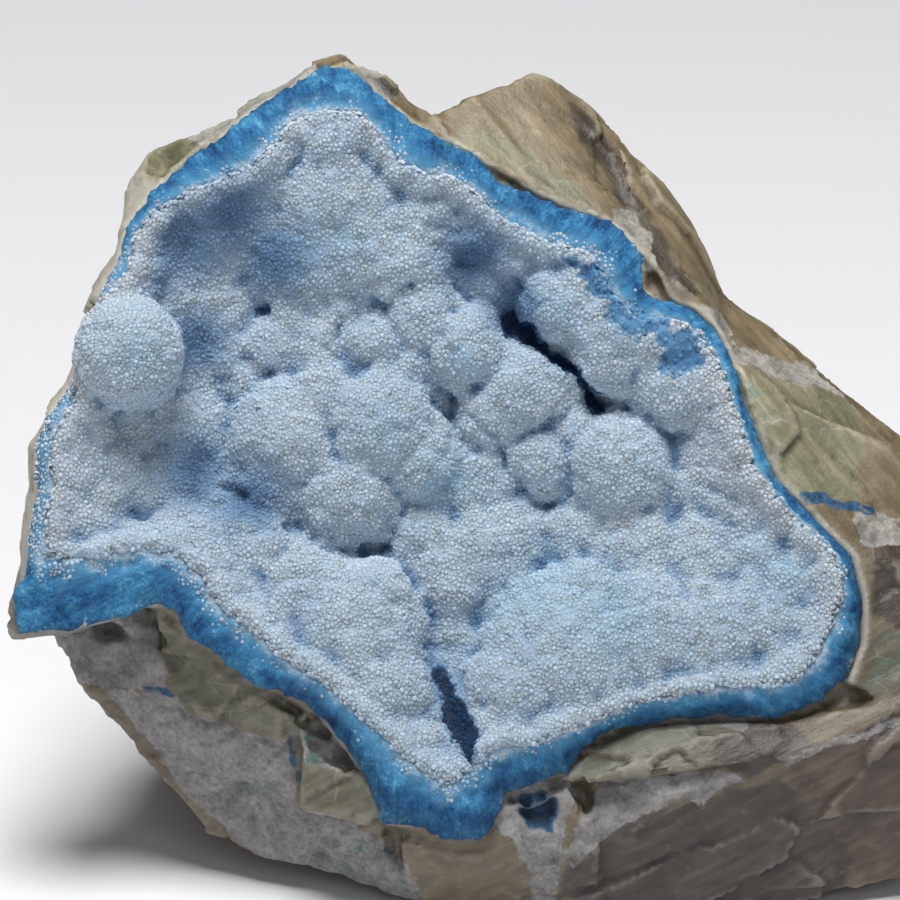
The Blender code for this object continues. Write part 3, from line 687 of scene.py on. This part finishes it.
def make_quartz():
    """The block: breaks and clay in relief, flush beside the blue layer, with its patches stored."""
    mesh = remeshed(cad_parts["quartz_matrix"].data, "quartz_rock", ROCK_VOXEL)
    start = read(mesh)
    points, normals = to_face(start), normals_of(mesh)
    fields = area_fields(points)
    clay = smoothstep(-0.3, 0.5, fields["clay"])
    height = broken_relief(points) * (1.0 - 0.75 * clay) + clay * (clay_relief(points) + 0.05)
    window = np.abs(points[:, [0, 2]] - WINDOW).max(axis=1) < WINDOW_HALF
    height -= WINDOW_DEPTH * smoothstep(0.0, 0.7, fields["blue"]) * window
    blue_gap = distances(BLUE, points)
    height = height * smoothstep(*FLUSH, blue_gap) - 0.15 * smoothstep(0.5, FLUSH[1], blue_gap)
    points = points + normals * height[:, None]
    write(mesh, keep_base(keep_in_box(to_world(points)), start))
    behind = (normals[:, 1] > 0.25) | (points[:, 1] > BACK_DEPTH) | (points[:, 0] > RIGHT_END)
    mesh = thinned(mesh, ROCK_KEPT, behind)
    write(mesh, keep_in_box(read(mesh), 0.0))

    points, normals = to_face(read(mesh)), normals_of(mesh)
    sunk = relaxed(points, edges_of(mesh), CAVITY_ROUNDS)
    cavity = np.sum((points - sunk) * normals, axis=1) / CAVITY_DEPTH
    for kind, field in area_fields(points).items():
        store(mesh, kind, field)
    store(mesh, "cavity", np.clip(cavity, -1.0, 1.0))
    left = smoothstep(*NO_RIM_X, points[:, 0]) * smoothstep(*NO_RIM_Z, points[:, 2])
    rim = distances(BLUE, points).clip(0.0, FIELD_LIMIT)
    store(mesh, "rim", rim * (1.0 - NO_RIM * left))
    # How high on the block each point lies: the grain's turn and the painted shade low down both read it.
    store(mesh, "upper", smoothstep(*GRAIN_CHANGE, points[:, 2]))
    shade(mesh, True)
    mesh.materials.append(quartz_finish())
    new_piece("quartz_rock", mesh, "quartz_rock", "quartz_matrix")


# The blue layer: the pocket's middle and rough radius, to measure along the band
BAND_MIDDLE = (-3.0, 1.0)
BAND_RADIUS = 35.0

# Nearer than this to its neighbours it is hidden
HIDDEN_GAP = 0.45

# The low parts of the band are darkened with painted shade, though less at the left
DARK_Z = (-2.0, -16.0)
DARK_X = (-26.0, -8.0)
DARK_LEFT = 0.15


def make_lining():
    """The blue shell with its broken, lumpy edge, and the place across and along the band stored."""
    mesh = remeshed(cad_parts["shattuckite_lining"].data, "blue_lining", LINING_VOXEL)
    points = to_face(read(mesh))
    hidden = np.minimum(distances(CRUST, points), distances(ROCK, points)) < HIDDEN_GAP
    mesh = thinned(mesh, LINING_KEPT, hidden)
    start = read(mesh)
    points, normals = to_face(start), normals_of(mesh)
    inner, outer = distances(CRUST, points), distances(ROCK, points)
    across = inner / np.maximum(inner + outer, 0.05)
    along = np.arctan2(points[:, 2] - BAND_MIDDLE[1], points[:, 0] - BAND_MIDDLE[0]) * BAND_RADIUS
    open_air = smoothstep(0.35, 1.0, np.minimum(inner, outer))
    sheaf = np.stack([along, across * 1.6, points[:, 1] * 0.4], axis=1)
    height = 0.20 * noise(sheaf, 1.0, 71, 2) + 0.50 * noise(points, 2.2, 72, 3)
    height += 0.24 * noise(points, 0.9, 73, 2)
    height -= 0.18 * smoothstep(0.45, 0.05, np.abs(noise(points, 2.6, 74, 2)) * 5.0)
    edge = smoothstep(0.62, 0.95, across) * smoothstep(1.6, 0.4, outer)
    points = points + normals * (open_air * (height - 0.05) + 0.24 * edge)[:, None]
    write(mesh, keep_base(keep_in_box(to_world(points)), start))
    store(mesh, "across", across)
    store(mesh, "along", along)
    # Painted shade on the low parts of the band.
    low = smoothstep(0.30, 0.80, across) * smoothstep(*DARK_Z, points[:, 2])
    store(mesh, "low", low * (DARK_LEFT + (1.0 - DARK_LEFT) * smoothstep(*DARK_X, points[:, 0])))
    shade(mesh, True)
    piece = new_piece("blue_lining", mesh, "blue_shattuckite", "shattuckite_lining")
    mesh.materials.append(blue_finish())
    return piece


# The druse: lumps as x, z, radius and the depth of the front
LUMPS = (
    (-32.2, 9.7, 5.6, -5.4), (-11.6, 25.6, 9, 2), (-12, 31, 4.6, 1.6), (-8.6, 21.4, 9, 2.4),
    (-14.4, 19.4, 7.4, 3.2), (-18.6, 23.4, 7, 4.2), (-4.6, 18.4, 5.4, 2.6), (-3.2, 22.4, 4.6, 3),
    (-21.4, 27, 5, 3), (-26, 22.6, 5, 3.4), (-30.4, 17.4, 4.4, 2.6), (-26, 16, 5, 6.6),
    (-17.4, 10.6, 4, 5), (-13, 10.8, 4.2, 4.6), (-10.6, 13.4, 3.6, 4.6), (-16, 14, 3.6, 5.2),
    (-23.4, 14, 3.6, 5.8), (-23, 9.6, 3.8, 6), (-20.6, 7, 3.2, 6), (-26.6, 2.2, 5.8, 4.8),
    (-21.6, -2, 4.4, 5.6), (-24.5, 19.6, 7.6, 6.2), (4, 17.6, 5.2, 5.4), (8, 16, 3.6, 5.6),
    (0.4, 13.4, 3.2, 5.6), (-1.6, 23.6, 2.6, 3.2), (2.4, 21.8, 2.6, 2.8), (6.4, 19.8, 2.4, 2.6),
    (-7.6, 10.8, 3.9, 3.6), (-2.6, 13.4, 4.2, 3), (-4.2, 8.4, 3.6, 4), (1.4, 10.2, 4.5, 2),
    (7.6, 6, 5.6, 1.8), (4.4, 3.4, 3.8, 3), (9.2, -1.2, 4.4, 3.2), (12.6, 1.6, 3.4, 3.6),
    (17.2, -1.8, 5.6, 0.4), (11.2, 14.8, 4.4, 1.2), (15.2, 12.4, 4.6, 0.9), (16.2, 9.4, 4.8, 1.2),
    (19.8, 10, 4.4, 0.9), (13, 16.8, 3.4, 1.4), (17.4, 12.2, 3.4, 0.5), (21.6, 10.9, 3.4, 0.4),
    (23.2, 6.8, 5.6, 0.6), (25.4, 8.4, 4.2, 1), (-16.2, 1.2, 6.6, 1.8), (-7, 2.4, 6.9, 1.2),
    (-10.4, -4.2, 6.2, 2), (-18, -3.8, 4.8, 3.4), (-12.4, 5.6, 4.4, 2.8), (-3.4, -0.8, 5, 2.6),
    (3, -3, 8, 4.6), (5, -10.4, 9, 3.4), (0, -12.8, 6.6, 3.6), (-2.6, -8.4, 5.4, 4.4),
    (0.6, -17.6, 5.4, 4.6), (19, -10.6, 8.4, 1.8), (25.2, -11.8, 8.2, 1.4), (13.6, -8.8, 5.4, 3.2),
    (16.4, -13.4, 5, 2.4), (25, -3.4, 5.4, 3), (29.6, -5.4, 4.6, 1.8), (31.2, -10.8, 6.2, 1),
    (27.6, 0.4, 3.4, 2.4), (12.4, -21.2, 10.6, -3), (19.4, -19, 9, -1.8), (7.6, -24, 6.4, -2.6),
    (14, -15.6, 5, -0.4), (26, -18.8, 8.2, -1.4), (31.2, -17.4, 7.6, -0.6), (34.2, -13.4, 5.4, 0.2),
    (35.6, -18, 5, -0.2), (-10.4, -19.2, 8.8, -1.6), (-7.2, -24.2, 5.2, -2), (-15.6, -15, 6.8, 0),
    (-8, -15, 4.4, 0), (-21, -11, 6.4, 0.8), (-27.4, -9.4, 5, 0.6), (-24.6, -6, 5.6, 4.2),
    (-30.2, -5, 6.8, 2.6), (-35.6, -3, 6.6, 0.6), (-38.4, -1, 4.4, -0.2), (-37.4, -7, 5.4, -0.4),
)

# Gaps between lumps, cut deeper and darkened by painted shade: half width, extra depth, then the places
# along the gap: x, z
GAPS = (
    (0.45, 5, (5.6, 13), (6.4, 11.8), (8.2, 11.2), (10.7, 8.8), (12.4, 8), (13.7, 6.2), (15, 4.2)),
    (1.1, 3.5, (6.2, 12.8), (8, 11.5)), (0.75, 4, (10.6, 9), (11.6, 8.4)),
    (0.7, 5, (14.2, 5.2), (14.9, 4.2)),
    (0.35, 1.8, (-2.4, -19.6), (-1, -22.5)), (0.7, 3.5, (-1, -22.5), (0.4, -25.4)),
    (1.2, 5, (0.3, -25.6), (1, -27.4), (1.4, -28.4)), (0.6, 4, (1.4, -28.4), (1.8, -30.2)),
    (0.32, 1.5, (-26, -2.5), (-23.5, -3.5), (-21, -4.5), (-18.8, -6.5), (-16.5, -8), (-13, -9.8),
     (-10, -10.6), (-7.5, -10.3), (-5.8, -8.5), (-4.6, -6)),
    (0.35, 1.4, (-2.5, 22.5), (2.3, 21.7), (6.7, 19.5), (9.1, 18.6)),
    (0.32, 1.2, (-11.3, 10.3), (-11, 12.7), (-9, 13.7), (-6, 15), (-3.7, 16.8)),
    (0.32, 1.5, (-2.8, 6.5), (-1.7, 5), (-0.3, 3.7), (2.3, 3.3), (3.3, 1.7), (5.3, 0.7), (6, -2),
     (7.6, -4.4), (9.6, -5.6), (11.4, -6)),
    (0.32, 1.2, (20.3, 3.3), (22.3, 1.3), (24.3, 1.5), (27.3, 2)),
    (0.7, 2.6, (-19.2, 14), (-18.8, 14.1)),
    (0.3, 0.9, (-21.7, 6.8), (-20, 7.6), (-15, 8), (-12, 8.2)),
    (0.3, 1, (1.3, -24), (1.2, -21), (2.5, -17.5), (5, -15.4)),
    (0.3, 0.9, (-9.5, -13.5), (-5, -15), (-1.4, -20.8)),
    (0.3, 0.9, (9, 10.9), (11, 9), (12, 6.4), (10.4, 3.6), (9.4, 2)),
    (0.3, 0.8, (-0.6, 15.4), (0.6, 13.6), (-1.8, 9.6), (-2.6, 6.8)),
)

# Spots where the blue shines through, as x, z and radius, and the outlines of bare patches
GLOWS = ((-31, 9.8, 3), (-6.5, 2, 3.6), (11, 14.4, 3), (-11, 21, 4.5), (8, -15, 7),
         (-1, -3.6, 5), (15.6, -17, 8), (1.5, 9, 2.5), (-24.5, 19.5, 5), (34, -11, 6))
BARE = (
    ((11.4, 19.2), (14, 18.6), (16.8, 16.8), (19.6, 15.4), (22.8, 13.4), (22.6, 11.8), (20.6, 11),
     (18.4, 11.6), (16.2, 11.8), (15, 13.2), (15.4, 15), (13.2, 16.8)),
    ((20.4, 12.4), (23.6, 12.2), (25.6, 10.4), (25.2, 8.2), (23.6, 7.4), (21.2, 7.9), (21.4, 9.8),
     (19.8, 10.6)),
)

# Painted shade on places deep in the pocket, as x, z and radius
SHADE_SPOTS = ((-27.5, 21.5, 7), (-22, 24, 6), (-30.5, 17.5, 5), (-25.6, 11, 4.5),
         (-20, -5, 5), (2.4, 19.8, 5), (-25.5, -2, 5), (0, -25.5, 4), (6.4, 14.6, 4),
         (-17.5, 19.5, 5))
SHADE_SPOT_STRENGTH = 0.62

# How far the lumps' fronts may move the crust, and the places under the ball where it drops deeper
CRUST_MOVES = (-0.5, 2.2)
UNDER_BALL = ((-33.5, 3.0, 4.5), (-29.5, 3.6, 4.0))
UNDER_DEPTH = 3.5

# Small knobs on the lumps, the crust's reach over the blue layer and its least thickness
KNOB_SPACING = 2.2
KNOB_RADIUS = 1.7
KNOB_HEIGHT = 0.40
RIM_REACH = 0.5
CRUST_LEFT = 0.7

# How deep the bare patches lie, and how many rounds smooth the surface that tells hollows from crests
BARE_DEPTH = 0.25
HOLLOW_ROUNDS = 36

# The druse is paler beside the blue band, from this far off the rock
PALE_FROM = 2.0
PALE_FADE = (3.4, 0.4)


def spots(points, places):
    """1 in the middle of round places on the face, fading to 0 outside them."""
    found = np.zeros(len(points))
    for x, z, radius in places:
        far = np.hypot(points[:, 0] - x, points[:, 2] - z) / radius
        found = np.maximum(found, smoothstep(1.3, 0.0, far))
    return found


def bare_field(points):
    """1 where the druse is missing and the blue below it shows."""
    found = np.full(len(points), -FIELD_LIMIT)
    for corners in BARE:
        found = np.maximum(found, outline_depth(points[:, 0], points[:, 2], corners))
    ragged = 0.9 * noise(points, 1.1, 91, 2) + 0.5 * noise(points, 0.5, 92)
    return smoothstep(-0.35, 0.35, found + ragged)


def lump_fronts(x, z):
    """The depth of the foremost lump at each place, far behind where there is none."""
    front = np.full(len(x), FAR)
    for lump_x, lump_z, radius, depth in LUMPS:
        off = radius * radius - (x - lump_x) ** 2 - (z - lump_z) ** 2
        nearer = np.minimum(front, depth + radius - np.sqrt(np.maximum(off, 0.0)))
        front = np.where(off > 0.0, nearer, front)
    return front


def gap_depths(points):
    """How much deeper the dark gaps lie at each point."""
    x = points[:, 0] + 0.6 * noise(points, 1.5, 41, 2)
    z = points[:, 2] + 0.6 * noise(points, 1.5, 42, 2)
    extra = np.zeros(len(x))
    for half, depth, *places in GAPS:
        extra = np.maximum(extra, depth * smoothstep(half * 1.5, half * 0.6, line_gap(x, z, places)))
    return extra


def crisp_crust():
    """The crust's solid with its front moved back to the lumps, and the gaps cut between them."""
    mesh = remeshed(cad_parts["quartz_druse_crust"].data, "druse_coarse", SKIN_VOXEL)
    points = relaxed(to_face(read(mesh)), edges_of(mesh), 3)
    write(mesh, to_world(points))
    front = smoothstep(0.25, -0.15, normals_of(mesh)[:, 1])
    room = np.maximum(distances(BLUE, points) - CRUST_LEFT, 0.0)
    x = points[:, 0] + 0.5 * noise(points, 1.6, 41, 2)
    z = points[:, 2] + 0.5 * noise(points, 1.6, 42, 2)
    deepest = CRUST_MOVES[1] + UNDER_DEPTH * spots(points, UNDER_BALL)
    change = np.clip(lump_fronts(x, z) - points[:, 1], CRUST_MOVES[0], deepest)
    change = np.minimum(change + gap_depths(points), room)
    points[:, 1] += front * change * smoothstep(0.0, 1.2, room)
    write(mesh, to_world(points))
    return mesh


def knob_height(points):
    """Height of the small knobs all over the lumps."""
    warp = np.stack([noise(points, 2.0, 40 + k) for k in range(3)], axis=1) * 0.5
    near, _, _ = cells(points + warp, KNOB_SPACING, 45)
    knobs = KNOB_HEIGHT * (1.0 - np.minimum(near / KNOB_RADIUS, 1.0) ** 2) - KNOB_HEIGHT / 2.0
    return knobs + 0.16 * noise(points, 1.1, 46, 2)


def make_skin():
    """The crust's own surface under its grains, and the painted shade of its hollows and gaps."""
    coarse = crisp_crust()
    mesh = remeshed(coarse, "druse_skin", SKIN_VOXEL)
    bpy.data.meshes.remove(coarse)
    points = to_face(read(mesh))
    mesh = thinned(mesh, SKIN_KEPT, (normals_of(mesh)[:, 1] > 0.3) & (distances(BLUE, points) < 1.2))
    edges = edges_of(mesh)
    points = relaxed(to_face(read(mesh)), edges, 2)
    write(mesh, to_world(points))
    normals = normals_of(mesh)
    front = smoothstep(0.3, -0.1, normals[:, 1])
    height = front * (knob_height(points) - BARE_DEPTH * bare_field(points))
    wall = smoothstep(0.55, 0.25, np.abs(normals[:, 1])) * smoothstep(1.2, 0.5, distances(BLUE, points))
    height += RIM_REACH * wall
    points = points + normals * height[:, None]
    write(mesh, keep_in_box(to_world(points)))
    # Painted shade: darker where the crust lies below a smoothed copy of itself, and in the cut gaps.
    broad = relaxed(points, edges, HOLLOW_ROUNDS)
    hollow = 0.6 * smoothstep(0.03, 0.60, np.sum((broad - points) * normals, axis=1))
    hollow = np.maximum(hollow, front * smoothstep(0.8, 3.0, gap_depths(points)))
    store(mesh, "tip", np.zeros(len(points)))
    store(mesh, "tint", np.full(len(points), 0.5))
    store_druse(mesh, points, hollow)
    shade(mesh, True)
    piece = new_piece("druse_skin", mesh, "pale_druse", "quartz_druse_crust")
    return piece, hollow


def store_druse(mesh, points, hollow, blue=0.0):
    """What the druse's finish reads, for points in hollows or on the blue band: among it the painted shade
    of hollows, gaps and spots deep in the pocket.
    """
    store(mesh, "glow", spots(points, GLOWS))
    # Painted shade on spots deep in the pocket, none where the crust stands forward.
    spot_shade = SHADE_SPOT_STRENGTH * spots(points, SHADE_SPOTS) * smoothstep(0.5, 2.5, points[:, 1])
    store(mesh, "hollow", np.clip(np.maximum(hollow, spot_shade), 0.0, 1.0))
    store(mesh, "bare", np.maximum(bare_field(points), blue))
    store(mesh, "rim", smoothstep(*PALE_FADE, distances(ROCK, points) - PALE_FROM))


def surface_of(mesh):
    """A mesh's points and normals, its triangles, and the triangles' middles and normals."""
    points, normals = to_face(read(mesh)), normals_of(mesh)
    mesh.calc_loop_triangles()
    triangles = fetched(mesh.loop_triangles, "vertices", 3, np.int64)
    return points, normals, triangles, points[triangles].mean(axis=1), normals[triangles].mean(axis=1)


def scatter(points, normals, triangles, spacing, random, keep):
    """Places on triangles no closer than spacing, with normals, the triangles' corners and weights.

    Keep is each triangle's share of the tries, from 0 to 1.
    """
    a, b, c = (points[triangles[:, k]] for k in range(3))
    area = np.linalg.norm(np.cross(b - a, c - a), axis=1) / 2.0
    area *= keep
    wanted = int(area.sum() / spacing ** 2 * TRIES_PER_PLACE)
    chosen = random.choice(len(triangles), wanted, p=area / area.sum())
    u, v = random.random(wanted), random.random(wanted)
    flip = u + v > 1.0
    u, v = np.where(flip, 1.0 - u, u), np.where(flip, 1.0 - v, v)
    weights = np.stack([1.0 - u - v, u, v], axis=1)
    corners = triangles[chosen]
    places = np.einsum("nk,nkd->nd", weights, points[corners])
    facing = np.einsum("nk,nkd->nd", weights, normals[corners])
    facing /= np.maximum(np.linalg.norm(facing, axis=1), 1e-6)[:, None]
    cell = np.floor(places / spacing).astype(np.int64)
    taken, kept = {}, []
    for i, (key, place) in enumerate(zip(map(tuple, cell), places.tolist())):
        if clear_of(taken, key, place, spacing):
            taken.setdefault(key, []).append(place)
            kept.append(i)
    kept = np.array(kept)
    return places[kept], facing[kept], corners[kept], weights[kept]


def clear_of(taken, key, place, spacing):
    """Whether no taken place near a cell is closer than spacing."""
    limit = spacing * spacing
    kx, ky, kz = key
    px, py, pz = place
    for x in (kx - 1, kx, kx + 1):
        for y in (ky - 1, ky, ky + 1):
            for z in (kz - 1, kz, kz + 1):
                for qx, qy, qz in taken.get((x, y, z), ()):
                    if (px - qx) ** 2 + (py - qy) ** 2 + (pz - qz) ** 2 < limit:
                        return False
    return True


def grain_shape():
    """One grain: a short prism, open at the foot that is sunk in the crust, with a low twisted tip."""
    ring = [2.0 * math.pi * k / GRAIN_SIDES for k in range(GRAIN_SIDES)]
    foot = [(1.10 * math.cos(a), 1.10 * math.sin(a), -0.60) for a in ring]
    shoulder = [(0.86 * math.cos(a + 0.5), 0.86 * math.sin(a + 0.5), 0.17) for a in ring]
    verts = np.array(foot + shoulder + [(0.0, 0.0, 0.46)])
    faces = []
    for k in range(GRAIN_SIDES):
        j = (k + 1) % GRAIN_SIDES
        faces.append((k, j, GRAIN_SIDES + k))
        faces.append((j, GRAIN_SIDES + j, GRAIN_SIDES + k))
        faces.append((GRAIN_SIDES + k, GRAIN_SIDES + j, 2 * GRAIN_SIDES))
    tips = np.array([0.0] * GRAIN_SIDES + [0.62] * GRAIN_SIDES + [1.0])
    return verts, np.array(faces), tips


def frames_for(directions, turns):
    """A turned set of axes for each direction, which becomes the third axis."""
    side = np.where(np.abs(directions[:, :1]) > 0.8, [[0.0, 0.0, 1.0]], [[1.0, 0.0, 0.0]])
    first = np.cross(side, directions)
    first /= np.linalg.norm(first, axis=1)[:, None]
    second = np.cross(directions, first)
    c, s = np.cos(turns)[:, None], np.sin(turns)[:, None]
    return np.stack([first * c + second * s, second * c - first * s, directions], axis=2)


def make_grains(skin, hollow, finish):
    """Grains all over the crust's front, apart from its bare patches."""
    random = np.random.default_rng(GRAIN_SEED)
    points, normals, triangles, middle, facing = surface_of(skin.data)
    seen = facing[:, 1] < 0.35
    gap = np.zeros(len(triangles))
    gap[seen] = distances(BLUE, middle[seen])
    keep = np.where(seen & (gap > 0.2), 1.0, 0.0) * (1.0 - 0.95 * bare_field(middle))
    places, along, corners, weights = scatter(points, normals, triangles, GRAIN_SPACING, random, keep)
    # Each grain takes the painted shade of the crust beneath it.
    deep = np.einsum("nk,nk->n", weights, hollow[corners])
    blue = np.zeros(len(places))
    add_pieces("druse_grains", GRAIN_PIECES, (places, along, deep, blue), 1.0, random, finish)


def make_fringe(lining, finish):
    """Grains strewn over the blue band's inner side, fewer outwards, and all over it at the left."""
    random = np.random.default_rng(FRINGE_SEED)
    points, normals, triangles, middle, facing = surface_of(lining.data)
    across = fetched(lining.data.attributes["across"].data, "value", 1, np.float32)[:, 0]
    keep = (distances(CRUST, middle) > 0.1) & (distances(ROCK, middle) > 0.3) & (facing[:, 1] < 0.4)
    found = scatter(points, normals, triangles, FRINGE_SPACING, random, keep * 1.0)
    places, along, corners, weights = found
    place = np.einsum("nk,nk->n", weights, across[corners]) + 0.35 * noise(places, 2.4, 95, 2)
    grown = smoothstep(*GROWN_OVER_X, places[:, 0]) * smoothstep(*GROWN_OVER_Z, places[:, 2])
    kept = random.random(len(places)) < np.maximum(smoothstep(FRINGE_WIDTH, -0.10, place), grown)
    places, along = places[kept], along[kept]
    blue = 0.85 * smoothstep(0.02, 0.45, place[kept]) * (1.0 - grown[kept])
    deep = np.zeros(len(places))
    add_pieces("fringe_grains", FRINGE_PIECES, (places, along, deep, blue), FRINGE_SCALE, random, finish)


def add_pieces(name, pieces, grains, scale, random, finish):
    """Grains shared out from left to right over some pieces."""
    order = np.argsort(grains[0][:, 0])
    for number, part in enumerate(np.array_split(order, pieces)):
        add_grains(f"{name}_{number + 1}", *(values[part] for values in grains), scale, random, finish)


def add_grains(name, places, along, deep, blue, scale, random, finish):
    """One piece of grains, each at its place with its own size, lean, turn and tint."""
    count = len(places)
    along = along + random.normal(0.0, GRAIN_TILT, (count, 3))
    along /= np.linalg.norm(along, axis=1)[:, None]
    size = scale * GRAIN_RADIUS * random.uniform(*GRAIN_SIZES, count)
    tall = size * random.uniform(*GRAIN_HEIGHTS, count)
    axes = frames_for(along, random.uniform(0.0, 2.0 * math.pi, count))
    verts, faces, tips = grain_shape()
    scaled = verts[None] * np.stack([size, size, tall], axis=1)[:, None, :]
    shaped = np.einsum("nij,nvj->nvi", axes, scaled) + places[:, None, :]
    tint = random.uniform(0.0, 1.0, count)
    body = joined_mesh(name, shaped, faces)
    store(body, "tip", np.tile(tips, count))
    store(body, "tint", np.repeat(tint, len(verts)))
    places, deep, blue = (np.repeat(values, len(verts), axis=0) for values in (places, deep, blue))
    store_druse(body, places, deep, blue)
    write(body, keep_in_box(to_world(shaped.reshape(-1, 3))))
    shade(body, False)
    body.materials.append(finish)
    new_piece(name, body, "pale_druse")


def joined_mesh(name, copies, faces):
    """One mesh of many copies of a small form, each given by its own points."""
    count, per_copy = copies.shape[:2]
    corners = (faces[None] + (np.arange(count) * per_copy)[:, None, None]).reshape(-1, 3)
    mesh = bpy.data.meshes.new(name)
    mesh.vertices.add(count * per_copy)
    mesh.vertices.foreach_set("co", copies.reshape(-1))
    mesh.loops.add(corners.size)
    mesh.loops.foreach_set("vertex_index", corners.ravel())
    mesh.polygons.add(len(corners))
    mesh.polygons.foreach_set("loop_start", np.arange(0, corners.size, 3))
    mesh.update(calc_edges=True)
    return mesh


# Floor, light and camera, in metres and watts
FLOOR_HALF = 3.0
LIT_PLACE = (0.0, -0.01, 0.045)
KEY_PLACE, KEY_SIZE, KEY_POWER = (-0.05, -0.18, 0.80), 0.42, 9.2
FILL_PLACE, FILL_SIZE, FILL_POWER = (0.10, -0.85, 0.40), 0.6, 1.9
WORLD_TONE = (0.80, 0.81, 0.83, 1.0)
WORLD_STRENGTH = 0.11


def make_stage():
    mesh = bpy.data.meshes.new("floor")
    corners = [(x * FLOOR_HALF, y * FLOOR_HALF, 0.0) for x, y in ((-1, -1), (1, -1), (1, 1), (-1, 1))]
    mesh.from_pydata(corners, [], [(0, 1, 2, 3)])
    floor = bpy.data.objects.new("floor", mesh)
    bpy.context.scene.collection.objects.link(floor)
    f = Finish("pale_floor")
    f.set(Base_Color=colour(222, 222, 224), Roughness=0.9)
    mesh.materials.append(f.material)


def add_light(name, place, size, power):
    light = bpy.data.lights.new(name, "AREA")
    light.shape = "DISK"
    light.size = size
    light.energy = power
    lamp = bpy.data.objects.new(name, light)
    bpy.context.scene.collection.objects.link(lamp)
    lamp.location = place
    lamp.rotation_euler = (Vector(LIT_PLACE) - Vector(place)).to_track_quat("-Z", "Y").to_euler()


def make_light():
    add_light("key", KEY_PLACE, KEY_SIZE, KEY_POWER)
    add_light("fill", FILL_PLACE, FILL_SIZE, FILL_POWER)
    world = bpy.data.worlds.new("soft_grey")
    world.use_nodes = True
    world.node_tree.nodes["Background"].inputs["Color"].default_value = WORLD_TONE
    world.node_tree.nodes["Background"].inputs["Strength"].default_value = WORLD_STRENGTH
    bpy.context.scene.world = world
    bpy.context.scene.view_settings.view_transform = "Standard"


def make_camera():
    data = bpy.data.cameras.new("camera")
    data.sensor_width = VIEW_SENSOR
    data.lens = VIEW_LENS
    data.clip_start = 0.01
    camera = bpy.data.objects.new("camera", data)
    bpy.context.scene.collection.objects.link(camera)
    away = Vector((0.0, -math.cos(LEAN), math.sin(LEAN)))
    camera.location = FACE_ORIGIN + away * VIEW_DISTANCE
    camera.rotation_euler = (math.radians(90) - LEAN, 0.0, 0.0)
    bpy.context.scene.camera = camera


def build():
    make_camera()
    make_stage()
    make_light()
    make_quartz()
    lining = make_lining()
    skin, hollow = make_skin()
    finish = druse_finish()
    skin.data.materials.append(finish)
    make_grains(skin, hollow, finish)
    make_fringe(lining, finish)


build()
